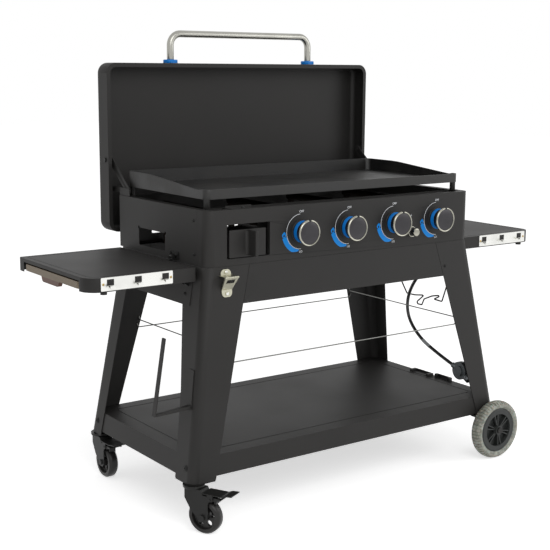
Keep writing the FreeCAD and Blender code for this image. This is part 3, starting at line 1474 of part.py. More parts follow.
def regulator():
    """A round regulator with its hose boss, vent and bottle nut."""
    a = V(*HOSE_POINTS[-2])
    b = V(*HOSE_POINTS[-1])
    d = (b - a).normalize()
    start = b + d * 0.02
    centre = b + d * 36
    boss_end = start + d * 30
    nut = Part.makeCylinder(9.0, 14.0, start, d)
    boss = Part.makeCylinder(7.0, (boss_end - start).Length, start, d)
    body = rod(30.0, (centre.x - 9, centre.y, centre.z), (centre.x + 9, centre.y, centre.z))
    dome = rod(22.0, (centre.x + 8, centre.y, centre.z), (centre.x + 17, centre.y, centre.z))
    back = rod(18.0, (centre.x - 8, centre.y, centre.z), (centre.x - 15, centre.y, centre.z))
    e = V(0, -0.87, -0.49)
    outlet = Part.makeCylinder(8.0, 46.0, centre, e)
    knurl = Part.makeCylinder(13.0, 16.0, centre + e * 32, e)
    return fuse(nut, boss, body, dome, back, outlet, knurl)


# Fasteners


def screw(at, axis, radius=4.5, head=2.6):
    """A domed screw head standing on a surface."""
    return Part.makeCylinder(radius, head, V(*at) + V(*axis) * SEAT, V(*axis))


def side_normal(side):
    """The outward normal of a leg's side flange."""
    return V(side * (BOX_BASE_Z - LEG_FOOT_Z), 0, LEG_SPLAY_X).normalize()


def end_normal(end):
    """The outward normal of a leg's end flange."""
    lean = LEG_LEAN_FRONT if end == "front" else LEG_LEAN_REAR
    return V(0, (-1 if end == "front" else 1) * (BOX_BASE_Z - LEG_FOOT_Z), lean).normalize()


def frame_bolts():
    """Bolt heads on the legs and aprons."""
    heads = []
    for side in (-1, 1):
        for end in ("front", "rear"):
            inward = 1 if end == "front" else -1
            table = FRONT_SIDE_FLANGE if end == "front" else REAR_SIDE_FLANGE
            z = 178.0
            y = leg_y(z, end) + inward * 34.0
            heads.append(screw((side * leg_x(z), y, z), side_normal(side), 6.0, 4.0))
            z = 642.0
            y = leg_y(z, end) + inward * (at_height(table, z) - 16)
            x = leg_x(z) + SEAT + SHEET
            heads.append(screw((side * x, y, z), side_normal(side), 5.0, 3.0))
            if side < 0 and end == "front":
                continue
            z = 648.0
            x = side * (leg_x(z) - at_height(FRONT_FLANGE, z) + 16.0)
            heads.append(screw((x, leg_y(z, end), z), end_normal(end), 4.5, 2.6))
    return group(heads)


def firebox_screws():
    """Screw heads where the wrapped panel meets the sides, and the chute's screw."""
    heads = []
    for side in (-1, 1):
        for y, z in ((67.0, 850.0), (63.0, 756.0)):
            heads.append(screw((side * BOX_HALF_X, y, z), (side, 0, 0), 4.0, 2.2))
    heads.append(screw((-374.0, 10.0, BOX_TOP_Z + SEAT + SHEET), (0, 0, 1), 4.5, 4.0))
    return group(heads)


def build():
    """Every node by name."""
    parts = {}
    for end in ("front", "rear"):
        for name, side in SIDES:
            parts["leg_%s_%s" % (end, name)] = leg(end, side)
        parts["%s_apron" % end] = end_apron(end)
        parts["caster_fork_%s" % end] = turn_caster(caster_fork(), end)
        parts["caster_wheel_%s" % end] = turn_caster(caster_wheel(), end)
        parts["caster_brake_%s" % end] = turn_caster(caster_brake(), end)
        parts["wheel_rim_%s" % end] = wheel_rim(end)
        parts["tyre_%s" % end] = tyre(end)
    for name, side in SIDES:
        parts["side_apron_%s" % name] = side_apron(side)
        parts["shelf_%s" % name] = shelf_body(side)
        parts["hook_strip_%s" % name] = hook_strip(side)
        parts["lid_link_%s" % name] = lid_link(side)
        parts["lid_strut_%s" % name] = lid_strut(side)
        parts["latch_%s" % name] = latch(side)
    parts["bottle_opener"] = bottle_opener()
    parts["lower_shelf"] = lower_shelf()
    parts["brace_wires"] = brace_wires()
    parts["towel_holder"] = towel_holder()
    parts["tank_hook"] = tank_hook()
    parts["shelf_hinges"] = group([shelf_hinge(s, y) for _, s in SIDES for y in hinge_rows()])
    parts["frame_bolts"] = frame_bolts()
    parts["firebox_shell"] = firebox_shell()
    parts["control_panel"] = control_panel()
    parts["burners"] = burners()
    parts["gas_manifold"] = gas_manifold()
    parts["gas_valves"] = group([valve(x) for x in KNOB_X])
    parts["lid_brackets"] = group([lid_bracket(s) for _, s in SIDES])
    parts["knob_bezels"] = group([bezel(x) for x in KNOB_X])
    parts["igniter_collar"] = igniter_collar()
    parts["igniter_button"] = igniter_button()
    parts["grease_chute"] = grease_chute()
    parts["grease_tray"] = grease_tray()
    parts["latch_plates"] = group([latch_plate(s) for _, s in SIDES])
    parts["firebox_screws"] = firebox_screws()
    parts["gas_hose"] = gas_hose()
    parts["regulator"] = regulator()
    for i, x in enumerate(KNOB_X):
        parts["knob_%d" % (i + 1)] = knob(x)
    parts["griddle_plate"] = griddle_plate()
    parts["lid"] = lid()
    parts["lid_handle"] = lid_handle()
    parts["handle_bezels"] = group([handle_bezel(x) for x in (-HANDLE_POST_X, HANDLE_POST_X)])
    parts["lid_bolts"] = lid_bolts()
    parts["cutting_board"] = cutting_board()
    return parts


def main():
    os.makedirs("parts", exist_ok=True)
    box_all = FreeCAD.BoundBox()
    for name, shape in build().items():
        shape.translate(V(0, -DRAWING_MID_Y, 0))
        shape.exportStep("parts/%s.step" % name)
        box_all.add(shape.BoundBox)
        solids = shape.Solids
        ok = shape.isValid() and all(s.isClosed() for s in solids)
        if not ok or shape.ShapeType not in ("Solid", "Compound") or not solids:
            print("CHECK", name, shape.ShapeType, len(solids), shape.isValid())
    print("box", box_all)


main()
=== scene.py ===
"""Dresses the outdoor gas griddle station: finished pieces, surfaces, camera, light and floor.

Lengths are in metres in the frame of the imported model: +X to the right, +Y to the back, +Z up.
"""

import json
import math

import bpy
from mathutils import Matrix, Vector
from mathutils.bvhtree import BVHTree


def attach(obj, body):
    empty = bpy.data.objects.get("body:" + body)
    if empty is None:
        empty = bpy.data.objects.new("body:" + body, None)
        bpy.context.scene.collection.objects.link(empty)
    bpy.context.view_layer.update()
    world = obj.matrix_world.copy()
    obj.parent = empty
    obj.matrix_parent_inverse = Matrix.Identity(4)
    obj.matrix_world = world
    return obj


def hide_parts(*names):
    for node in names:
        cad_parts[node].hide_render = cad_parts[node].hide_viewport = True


bl_info = {
    "name": "Griddle Station",
    "version": (1, 0, 0),
    "blender": (4, 5, 0),
    "location": "View3D > Sidebar > Griddle",
    "description": "Finished pieces and surfaces of an outdoor gas griddle station",
    "category": "Object",
}

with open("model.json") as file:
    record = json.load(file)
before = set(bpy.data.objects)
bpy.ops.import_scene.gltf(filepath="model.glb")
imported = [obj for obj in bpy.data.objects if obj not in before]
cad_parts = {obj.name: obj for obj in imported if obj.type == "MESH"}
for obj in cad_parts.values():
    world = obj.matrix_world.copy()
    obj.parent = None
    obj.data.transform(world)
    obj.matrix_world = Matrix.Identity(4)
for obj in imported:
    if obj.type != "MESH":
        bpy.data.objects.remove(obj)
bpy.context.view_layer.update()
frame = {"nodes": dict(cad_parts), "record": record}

MM = 0.001
SHIFT_Y = -0.2211

Y_AXIS = Vector((0, 1, 0))
Z_AXIS = Vector((0, 0, 1))

# The camera's place, turn and lens
CAMERA_AT = Vector((-2.1347, -2.5846 + SHIFT_Y, 1.2635))
CAMERA_AZIMUTH = math.radians(-35.82)
CAMERA_ELEVATION = math.radians(10.3)
CAMERA_ROLL = math.radians(0.38)
CAMERA_LENS = 74.2
CAMERA_FILM = 36.0
CAMERA_REACH = 60.0

# Soft lamps: place, what they face, size and share of the key's power
LAMPS = {
    "key": ((-1.2, -3.4, 3.0), (0, 0, 0.6), 2.4, 1.0),
    "fill": ((2.8, -2.4, 2.0), (0, 0, 0.6), 2.0, 0.5),
}
# Rays that see white instead of the room's own strength
WHITE_RAYS = ("Is Camera Ray", "Is Glossy Ray", "Is Transmission Ray")

FLOOR_SIZE = 30.0
FLOOR_AT = (0, 6.0, 0)

WHITE = (1, 1, 1, 1)
BLACK = (0, 0, 0, 1)

# Axes of the knobs and the igniter, on the front of the panel
KNOB_X = (-0.178, 0.0, 0.178, 0.356)
KNOB_Z = 0.803
PANEL_Y = SHIFT_Y
IGNITER = Vector((0.254, SHIFT_Y, 0.769))

# Route, size and length of the gas hose, and its label
HOSE_POINTS = (
    (0.462, 0.042, 0.716),
    (0.465, 0.062, 0.644),
    (0.484, 0.180, 0.610),
    (0.494, 0.268, 0.512),
    (0.495, 0.274, 0.425),
    (0.493, 0.2036, 0.3566),
    (0.494, 0.101, 0.316),
    (0.502, 0.050, 0.2945),
)
HOSE_DIAMETER = 0.0112
LABEL_AT = Vector((0.4934, 0.170 + SHIFT_Y, 0.343))
LABEL_LENGTH = 0.031
LABEL_THICKNESS = 0.0003

# Nodes shut inside the firebox, whose edges need no rounding
UNSEEN_NODES = ("burners",)

# Nodes whose finish differs from their slot's
NODE_FINISH = {
    "burners": "sooted_steel",
    "gas_manifold": "sooted_steel",
    "latch_left": "black_steel",
    "latch_right": "black_steel",
    "latch_plates": "black_steel",
    "bottle_opener": "zinc_steel",
    "igniter_collar": "black_plastic",
    "lid_handle": "handle_steel",
}

# Turned pieces: (radius, height) points from the surface that each one stands on
# The neck under the blue collar: its black is painted shade for the shadowed gap between the panel and
# the collar
KNOB_NECK = (
    (0.012, 0.0002), (0.0330, 0.0002), (0.0332, 0.0014), (0.0322, 0.0024),
    (0.0302, 0.0030), (0.0298, 0.0088), (0.012, 0.0088), (0.012, 0.0002),
)
KNOB_COLLAR = (
    (0.0286, 0.0086), (0.0318, 0.0086), (0.0325, 0.0092), (0.0322, 0.0105),
    (0.0309, 0.0196), (0.0303, 0.0204), (0.0286, 0.0204), (0.0286, 0.0086),
)
KNOB_BODY = (
    (0, 0.0125), (0.026, 0.0125), (0.026, 0.0208), (0.0302, 0.0208), (0.0309, 0.0216), (0.0312, 0.0236),
    (0.0310, 0.0340), (0.0322, 0.0362), (0.0352, 0.0374), (0.0352, 0.0398), (0, 0.0398),
)
KNOB_RIM = (
    (0.0345, 0.0372), (0.0376, 0.0375), (0.0385, 0.0386), (0.0387, 0.0405), (0.0383, 0.0427),
    (0.0370, 0.0443), (0.0354, 0.0449), (0.0340, 0.0445), (0.0333, 0.0434), (0.0333, 0.0398),
    (0.0345, 0.0372),
)
KNOB_CAP = (
    (0, 0.0399), (0.0333, 0.0399), (0.0333, 0.0424), (0.0329, 0.0430), (0.0320, 0.0433),
    (0.0150, 0.0436), (0, 0.0437),
)
IGNITER_FLANGE = (
    (0.0131, 0.0002), (0.0170, 0.0002), (0.0171, 0.0022), (0.0164, 0.0038), (0.0150, 0.0046),
    (0.0136, 0.0044), (0.0131, 0.0036), (0.0131, 0.0002),
)
IGNITER_CAP = (
    (0, 0.0172), (0.0110, 0.0172), (0.0124, 0.0178), (0.0127, 0.0190), (0.0126, 0.0216),
    (0.0116, 0.0232), (0.0090, 0.0239), (0, 0.0241),
)

# Heads of screws as shares of radius and height, and washers as shares of radius with heights in metres
HEAD_PROFILE = ((1.0, 0.3), (0.93, 0.62), (0.74, 0.9), (0.45, 1.0))
HEAD_SINK = 0.0002
HEAD_STEPS = 32
WASHER_PROFILE = (
    (0, 0), (1.5, 0), (1.5, 0.0009), (1.42, 0.0014), (1.3, 0.0014), (1.24, 0.0009), (1.12, 0.0009),
    (1.06, 0.0015), (0, 0.0015),
)
WASHER_STEPS = 40
WIDE_BOLT_RADIUS = 0.0055
CROSS_LENGTH_SHARE = 1.2
CROSS_WIDTH_SHARE = 0.26
CROSS_DEPTH_SHARE = 1.1
HEXAGON_DEPTH_SHARE = 1.3

# Knobs: how deep the grip's hollows reach, the share of a pitch and squeeze of each pass, and the mark
FLUTE_DEPTHS = (0.0230, 0.0350)
FLUTE_PASSES = ((0.36, 0.985), (0.14, 0.985))
POINTER_AT = Vector((0, -0.0410, 0.0352))
POINTER_SIZE = (0.0086, 0.0072, 0.0074)
POINTER_FACE_DEPTH = 0.003
POINTER_INSET = 0.0008
POINTER_CROWN = 0.0004
POINTER_EDGE = 0.0006

# Print on the panel: radii and angles, in degrees from +X toward +Z
PRINT_LIFT = 0.0001
PRINT_HALF_DEPTH = 0.06 * MM
LETTER_GROWTH = 0.05 * MM
ARC_RADII = (0.0517, 0.0504)
ARC_ANGLES = (94, 271)
CRESCENT_START = 194
CRESCENT_BEND = 240
CRESCENT_END = 262
CRESCENT_OUTER = (0.0680, 0.0660, 0.0572)
CRESCENT_INNER = 0.0523
FLAME_RADIUS = 0.0607
FLAME_ANGLE = math.radians(186)
FLAME_HALF_SIZE = (0.0072, 0.0088)
FLAME_HOLE_HALF_SIZE = (0.0030, 0.0040)
FLAME_HOLE_DROP = 0.0022
FLAME_STEPS = 28
FLAME_NARROWING = 0.62
FLAME_SHARPNESS = 1.4
FLAME_LEAN = 0.22
OFF_AT = (0.0018, 0.058)
OFF_HEIGHT = 0.0066
LOW_AT = (0, -0.059)
LOW_HEIGHT = 0.0062
SPARK_AT = (0.2492, 0.8186)
SPARK_OUTLINE = (
    (0.0012, 0.0062), (-0.0022, -0.0006), (-0.0002, -0.0006), (-0.0014, -0.0062), (0.0021, 0.0010),
    (0.0002, 0.0010),
)
DOT_AT = (0.253, 0.802)
DOT_RADIUS = 0.0012

# Large wheels: axle line, radius and the front and back faces of each tyre
WHEEL_X = 0.567
WHEEL_R = 0.096
TYRE_FACES_Y = {"front": (-0.111, -0.069), "rear": (0.545, 0.587)}
TYRE_HALF_PROFILE = (
    (0.0731, 0.015), (0.0780, 0.0195), (0.0810, 0.0208), (0.0840, 0.0210), (0.0870, 0.0200),
    (0.0925, 0.0145), (0.0955, 0.0075), (0.0960, 0.0018),
)
TREAD_BASE_RADIUS = 0.0880
TREAD_HALF_RIB = 0.0018
TREAD_GROOVE_SHARE = 0.3
TREAD_GROOVE_INSET = 0.0004
TREAD_GROOVE_DEPTH = 0.0024
STEPS_PER_BLOCK = 3
TYRE_SMOOTH_DEGREES = 28.0

# Height of a capital letter for a text size of 1
CAPITAL_SHARE = 0.72

# Screws of the hook strips and the opener: where they sit, radius and height
SEAT_FROM_Y = -0.6
STRIP_SCREWS_X = (0.798, 0.594)
STRIP_SCREWS_Z = 0.7065
STRIP_SCREW = (0.0036, 0.0016)
OPENER_SCREWS = ((-0.440, 0.7105), (-0.440, 0.6505))
OPENER_SCREW = (0.0046, 0.0018)

# Height at which the cutting board's wood turns darker toward its tab
BOARD_TAB_Z = (0.6885, 0.6915)

# Points nearer than this become one, in a new mesh and in a carried-over one
MERGE_DISTANCE = 0.01 * MM
WELD_DISTANCE = 0.002 * MM

SMOOTH_DEGREES = 32.0
SHEET_EDGE_DEGREES = 40.0
SMALL_EDGE_DEGREES = 35.0

# Sockets of a Mix node for colours
MIX_FIRST = 6
MIX_SECOND = 7
MIX_RESULT = 2


# Materials


def linear(red, green, blue):
    """A display colour, 0 to 255, as the scene's linear colour."""
    def channel(value):
        value /= 255
        return value / 12.92 if value <= 0.04045 else ((value + 0.055) / 1.055) ** 2.4

    return (channel(red), channel(green), channel(blue), 1.0)


class Value:
    """An output socket that takes part in arithmetic."""

    def __init__(self, shader, socket):
        self.shader = shader
        self.socket = socket

    def _math(self, operation, *operands):
        result = self.shader.node("Math", settings={"operation": operation})
        for socket, operand in zip(result.socket.node.inputs, operands):
            self.shader.feed(socket, operand)
        return result

    def __add__(self, other):
        return self._math("ADD", self, other)

    def __radd__(self, other):
        return self._math("ADD", other, self)

    def __sub__(self, other):
        return self._math("SUBTRACT", self, other)

    def __rsub__(self, other):
        return self._math("SUBTRACT", other, self)

    def __mul__(self, other):
        return self._math("MULTIPLY", self, other)

    def __rmul__(self, other):
        return self._math("MULTIPLY", other, self)

    def clamped(self):
        """Held between 0 and 1."""
        return self._math("MINIMUM", self._math("MAXIMUM", self, 0.0), 1.0)

    def band(self, low, high):
        """0 below low, 1 above high and smooth between."""
        smooth = {"interpolation_type": "SMOOTHSTEP"}
        return self.shader.node("MapRange", "Result", smooth, Value=self, From_Min=low, From_Max=high)


class Shader:
    """The nodes of a material or of the surroundings."""

    def __init__(self, tree):
        self.nodes = tree.nodes
        self.links = tree.links

    def feed(self, socket, value):
        """Links a Value to a socket, or writes a constant into it."""
        if isinstance(value, Value):
            self.links.new(value.socket, socket)
        else:
            socket.default_value = value

    def node(self, kind, output=0, settings=None, **inputs):
        """Any node, with its settings and inputs by name, as the Value of one output."""
        node = self.nodes.new("ShaderNode" + kind)
        for key, value in (settings or {}).items():
            setattr(node, key, value)
        for key, value in inputs.items():
            self.feed(node.inputs[key.replace("_", " ").title()], value)
        return Value(self, node.outputs[output])

    def mix(self, factor, first, second):
        """A colour between two colours."""
        blend = self.node("Mix", MIX_RESULT, {"data_type": "RGBA"}, Factor=factor)
        self.feed(blend.socket.node.inputs[MIX_FIRST], first)
        self.feed(blend.socket.node.inputs[MIX_SECOND], second)
        return blend

    def sees_white(self):
        """1 for the rays that see white, and 0 for the others."""
        camera, glossy, through = (self.node("LightPath", kind) for kind in WHITE_RAYS)
        return (camera + glossy + through).clamped()


class Surface(Shader):
    """One procedural material with a Principled shader."""

    def __init__(self, name, **constants):
        self.material = bpy.data.materials.new(name)
        self.material.use_nodes = True
        super().__init__(self.material.node_tree)
        self.principled = self.nodes["Principled BSDF"]
        for key, value in constants.items():
            self.principled.inputs[self.label(key)].default_value = value
        self.place = self.node("TexCoord", "Object")

    def label(self, key):
        """The name of a socket as the shader writes it."""
        return key.replace("_", " ").title().replace("Ior", "IOR")

    def stretched(self, x, y, z):
        """The object's coordinates, scaled along each axis."""
        return self.node("Mapping", Vector=self.place, Scale=(x, y, z))

    def noise(self, scale, detail=2.0, place=None, roughness=0.5):
        """Cloudy noise, finer for a larger scale."""
        place = place or self.place
        return self.node("TexNoise", Vector=place, Scale=scale, Detail=detail, Roughness=roughness)

    def axis(self, index):
        """One of the object's coordinates."""
        return self.node("SeparateXYZ", index, Vector=self.place)

    def set(self, **inputs):
        """Feeds sockets of the shader."""
        for key, value in inputs.items():
            self.feed(self.principled.inputs[self.label(key)], value)
        return self

    def bump(self, height, strength, distance):
        """Raises the surface where height is more."""
        return self.set(normal=self.node("Bump", Height=height, Strength=strength, Distance=distance))


def powder_coat(name, tone, rough, grain=1.0):
    """Black powder coat: a fine pebbled skin with faint wear and dust."""
    s = Surface(name, specular_ior_level=0.26)
    dark = linear(*tone)
    light = linear(*(c * 1.22 + 5 for c in tone))
    cloud = s.noise(3.5, 4.0).band(0.35, 0.7)
    speck = s.noise(420.0, 2.0).band(0.6, 0.75)
    pebbles = s.noise(1100.0, 2.0)
    s.set(base_color=s.mix(cloud * 0.35 + speck * 0.4, dark, light))
    s.set(roughness=rough + (cloud - 0.5) * 0.06 + (pebbles - 0.5) * 0.08)
    return s.bump(pebbles + s.noise(260.0) * 0.6, 0.14 * grain, 0.0004).material


def seasoned_plate(name):
    """Rolled steel plate under burnt-in oil: mottled, with shallow scrapes along its length."""
    s = Surface(name)
    mottle = s.noise(9.0, 5.0, roughness=0.6).band(0.35, 0.65)
    scrapes = s.noise(60.0, 3.0, s.stretched(0.15, 2.0, 1.0))
    s.set(base_color=s.mix(mottle, linear(12, 12, 12), linear(24, 23, 21)))
    s.set(roughness=0.42 + mottle * 0.12 + (scrapes - 0.5) * 0.1)
    return s.bump(scrapes + s.noise(500.0) * 0.5, 0.1, 0.0004).material


def plain_metal(name, tone, rough, stretch=(1.0, 1.0, 1.0), grain=180.0, depth=0.05):
    """Bare or plated metal with a drawn or brushed grain."""
    s = Surface(name, metallic=1.0)
    lines = s.noise(grain, 3.0, s.stretched(*stretch))
    smudge = s.noise(14.0, 3.0).band(0.4, 0.75)
    dull = linear(*(c * 0.86 for c in tone))
    s.set(base_color=s.mix(smudge * 0.5 + (lines - 0.5) * 0.4, linear(*tone), dull))
    s.set(roughness=rough + (lines - 0.5) * 0.12 + smudge * 0.05)
    return s.bump(lines, depth, 0.0003).material


def plastic(name, dark, light, rough):
    """Moulded plastic or print between two linear tones, with a light spark-eroded texture."""
    s = Surface(name, specular_ior_level=0.3)
    cloud = s.noise(30.0, 3.0).band(0.35, 0.7)
    skin = s.noise(900.0, 2.0)
    s.set(base_color=s.mix(cloud * 0.4, dark, light))
    s.set(roughness=rough + (cloud - 0.5) * 0.06 + (skin - 0.5) * 0.06)
    return s.bump(skin, 0.1, 0.0003).material


def moulded_plastic(name, tone, rough):
    """Plastic of one display tone."""
    return plastic(name, linear(*tone), linear(*(c * 1.15 + 3 for c in tone)), rough)


def board_wood(name):
    """Oiled hardwood: long dark grain along the board with a few darker streaks."""
    s = Surface(name)
    warp = s.noise(6.0, 2.0)
    grain = s.noise(40.0, 6.0, s.stretched(6.0, 0.35, 6.0))
    rings = s.node(
        "TexWave", 1, {"wave_type": "BANDS", "bands_direction": "X"},
        Vector=s.stretched(1.0, 0.08, 1.0), Scale=26.0, Distortion=3.5, Detail=3.0,
    )
    tone = (grain * 0.6 + rings * 0.3 + warp * 0.2).clamped()
    plank = s.mix(tone, linear(78, 66, 50), linear(132, 118, 98))
    tab = s.mix(tone, linear(62, 36, 28), linear(104, 70, 56))
    s.set(base_color=s.mix(s.axis(2).band(*BOARD_TAB_Z), tab, plank))
    s.set(roughness=0.5 + (grain - 0.5) * 0.2)
    return s.bump(grain, 0.12, 0.0004).material


def tyre_rubber(name):
    """Grey rubber that light enters a little, with mould mottling."""
    s = Surface(name, subsurface_weight=0.15)
    mottle = s.noise(70.0, 4.0, roughness=0.65).band(0.35, 0.68)
    fine = s.noise(600.0, 2.0)
    s.set(base_color=s.mix(mottle, linear(118, 120, 110), linear(168, 170, 160)))
    s.set(roughness=0.38 + mottle * 0.15 + (fine - 0.5) * 0.08)
    return s.bump(fine + mottle, 0.12, 0.0005).material


def hose_rubber(name):
    """Smooth black hose rubber under a thin sheen."""
    s = Surface(name, coat_weight=0.25, coat_roughness=0.25)
    cloud = s.noise(45.0, 3.0)
    fine = s.noise(800.0, 2.0)
    s.set(base_color=s.mix(cloud.band(0.4, 0.7) * 0.5, linear(20, 20, 21), linear(38, 38, 38)))
    s.set(roughness=0.36 + (cloud - 0.5) * 0.1)
    return s.bump(fine, 0.08, 0.0003).material


def build_materials(accent):
    """Every finish by its name, which is also its slot's where the record has one."""
    bright_accent = [min(1.0, part * 1.2 + 0.01) for part in accent]
    return {
        "black_coat": powder_coat("black_coat", (35, 34, 33), 0.54),
        "seasoned_plate": seasoned_plate("seasoned_plate"),
        "bright_steel": plain_metal("bright_steel", (226, 226, 222), 0.28, (0.3, 6.0, 6.0)),
        "handle_steel": plain_metal("handle_steel", (166, 165, 158), 0.28, (0.3, 6.0, 6.0)),
        "zinc_steel": plain_metal("zinc_steel", (186, 184, 166), 0.34, grain=90.0, depth=0.12),
        "sooted_steel": plain_metal("sooted_steel", (34, 30, 27), 0.6),
        "bright_wire": plain_metal("bright_wire", (122, 122, 119), 0.3),
        "black_steel": powder_coat("black_steel", (24, 24, 23), 0.42, 0.5),
        "brass": plain_metal("brass", (178, 156, 106), 0.34),
        "blue_plastic": moulded_plastic("blue_plastic", (4, 114, 196), 0.38),
        "dark_chrome": plain_metal("dark_chrome", (66, 65, 67), 0.3, (0.4, 1.0, 9.0), 120.0, 0.1),
        "chrome": plain_metal("chrome", (160, 158, 147), 0.14, grain=240.0, depth=0.2),
        "black_plastic": moulded_plastic("black_plastic", (20, 20, 21), 0.42),
        "hose_rubber": hose_rubber("hose_rubber"),
        "label_grey": moulded_plastic("label_grey", (158, 162, 163), 0.5),
        "print_white": moulded_plastic("print_white", (226, 228, 230), 0.5),
        "print_blue": plastic("print_blue", accent, bright_accent, 0.45),
        "regulator_grey": plain_metal("regulator_grey", (120, 124, 126), 0.45),
        "board_wood": board_wood("board_wood"),
        "caster_plastic": moulded_plastic("caster_plastic", (34, 33, 32), 0.34),
        "rim_plastic": moulded_plastic("rim_plastic", (46, 48, 47), 0.42),
        "tyre": tyre_rubber("tyre"),
    }


# Modelling steps


def only(obj):
    """Selects one object and makes it active."""
    bpy.ops.object.select_all(action="DESELECT")
    obj.select_set(True)
    bpy.context.view_layer.objects.active = obj


def baked(obj, name):
    """Names a finished object and puts its place into its mesh."""
    only(obj)
    bpy.ops.object.transform_apply(location=True, rotation=True, scale=True)
    obj.name = name
    obj.data.name = name
    return obj


def finish(obj, finish_name, body, smooth=SMOOTH_DEGREES):
    """Gives a finished piece its finish, slot and body, and smooths angles up to smooth degrees."""
    only(obj)
    bpy.ops.object.shade_smooth_by_angle(angle=math.radians(smooth))
    obj.data.materials.clear()
    obj.data.materials.append(MATERIALS[finish_name])
    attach(obj, body)
    return obj


def turned(name, profile, centre, axis, steps):
    """A turned piece: the (radius, height) profile spun once round the axis through centre."""
    across = axis.orthogonal().normalized()
    points = [centre + across * radius + axis * height for radius, height in profile]
    bpy.ops.object.select_all(action="DESELECT")
    bpy.ops.mesh.primitive_plane_add(size=MM, location=points[0])
    obj = bpy.context.object
    bpy.ops.object.mode_set(mode="EDIT")
    bpy.ops.mesh.select_mode(type="VERT")
    bpy.ops.mesh.select_all(action="SELECT")
    bpy.ops.mesh.merge(type="CENTER")
    for start, end in zip(points, points[1:]):
        bpy.ops.mesh.extrude_region_move(TRANSFORM_OT_translate={"value": end - start})
    bpy.ops.mesh.select_all(action="SELECT")
    bpy.ops.mesh.spin(steps=steps, angle=2 * math.pi, center=centre, axis=axis)
    bpy.ops.mesh.select_all(action="SELECT")
    bpy.ops.mesh.remove_doubles(threshold=MERGE_DISTANCE)
    bpy.ops.mesh.normals_make_consistent(inside=False)
    bpy.ops.object.mode_set(mode="OBJECT")
    return baked(obj, name)


def softened(obj, width, segments):
    """Rounds the sharp edges with an applied bevel."""
    only(obj)
    bevel = obj.modifiers.new("edges", "BEVEL")
    bevel.width = width
    bevel.segments = segments
    bevel.limit_method = "ANGLE"
    bevel.angle_limit = math.radians(SMALL_EDGE_DEGREES)
    bpy.ops.object.modifier_apply(modifier=bevel.name)
    return obj


def flat_shape(name, *loops):
    """A thin printed shape on the panel: closed loops of (x, z) points, an inner one making a hole."""
    curve = bpy.data.curves.new(name, "CURVE")
    curve.dimensions = "2D"
    curve.fill_mode = "BOTH"
    curve.extrude = PRINT_HALF_DEPTH
    for points in loops:
        spline = curve.splines.new("POLY")
        spline.points.add(len(points) - 1)
        for point, (x, z) in zip(spline.points, points):
            point.co = (x, z, 0, 1)
        spline.use_cyclic_u = True
    obj = bpy.data.objects.new(name, curve)
    bpy.context.scene.collection.objects.link(obj)
    return on_panel(obj, name, (0.0, 0.0))


def on_panel(obj, name, place):
    """Turns a flat curve or text upright against the panel at (x, z), as a mesh."""
    obj.rotation_euler = (math.pi / 2, 0, 0)
    obj.location = (place[0], PANEL_Y - PRINT_LIFT, place[1])
    only(obj)
    bpy.ops.object.convert(target="MESH")
    return baked(bpy.context.object, name)


def printed_word(name, word, height, place):
    """A word in plain capitals, centred at (x, z) on the panel."""
    bpy.ops.object.text_add()
    obj = bpy.context.object
    obj.data.body = word
    obj.data.align_x = "CENTER"
    obj.data.align_y = "CENTER"
    obj.data.size = height / CAPITAL_SHARE
    obj.data.offset = LETTER_GROWTH
    obj.data.extrude = PRINT_HALF_DEPTH
    return on_panel(obj, name, place)


def flame_outline(centre, half_size):
    """A flame's outline: round below, drawn to a leaning point above."""
    half_width, half_height = half_size
    points = []
    for i in range(FLAME_STEPS):
        angle = 2 * math.pi * i / FLAME_STEPS
        rise = math.sin(angle)
        above = max(0.0, rise)
        narrow = 1.0 - FLAME_NARROWING * above ** FLAME_SHARPNESS
        lean = FLAME_LEAN * half_width * above ** 2
        across = half_width * math.cos(angle) * narrow + lean
        points.append((centre[0] + across, centre[1] + half_height * rise))
    return points


def joined(name, pieces):
    """One object of several."""
    bpy.ops.object.select_all(action="DESELECT")
    for piece in pieces:
        piece.select_set(True)
    bpy.context.view_layer.objects.active = pieces[0]
    bpy.ops.object.join()
    return baked(bpy.context.object, name)


def faces_chosen(obj, wanted):
    """Selects the faces for which wanted(centre) is true."""
    for polygon in obj.data.polygons:
        polygon.select = wanted(polygon.center)
    for edge in obj.data.edges:
        edge.select = False
    for vertex in obj.data.vertices:
        vertex.select = False
    only(obj)
    bpy.ops.object.mode_set(mode="EDIT")
    bpy.ops.mesh.select_mode(type="FACE")


def polar(point, centre):
    """Distance and angle in degrees of a point round the line along Y through centre."""
    offset = point - centre
    return math.hypot(offset.x, offset.z), math.degrees(math.atan2(offset.z, offset.x)) % 360


def solids_of(node):
    """The separate solids of a carried-over node: middle, outward axis, radius and height."""
    bpy.ops.object.select_all(action="DESELECT")
    copy = node.copy()
    copy.data = node.data.copy()
    copy.modifiers.clear()
    bpy.context.scene.collection.objects.link(copy)
    bpy.context.view_layer.update()
    baked(copy, "solids")
    bpy.ops.object.mode_set(mode="EDIT")
    bpy.ops.mesh.select_all(action="SELECT")
    bpy.ops.mesh.remove_doubles(threshold=MERGE_DISTANCE)
    bpy.ops.mesh.separate(type="LOOSE")
    bpy.ops.object.mode_set(mode="OBJECT")
    found = []
    for solid in list(bpy.context.selected_objects):
        points = [vertex.co for vertex in solid.data.vertices]
        middle = sum(points, Vector()) / len(points)
        face = max(solid.data.polygons, key=lambda polygon: polygon.area)
        axis = face.normal.copy()
        if axis.dot(middle - Vector((0, 0, middle.z))) < 0 or axis.z < -0.9:
            axis.negate()
        heights = [(point - middle).dot(axis) for point in points]
        radius = max(((point - middle) - axis * h).length for point, h in zip(points, heights))
        found.append((middle + axis * min(heights), axis, radius, max(heights) - min(heights)))
        bpy.data.objects.remove(solid)
    return found


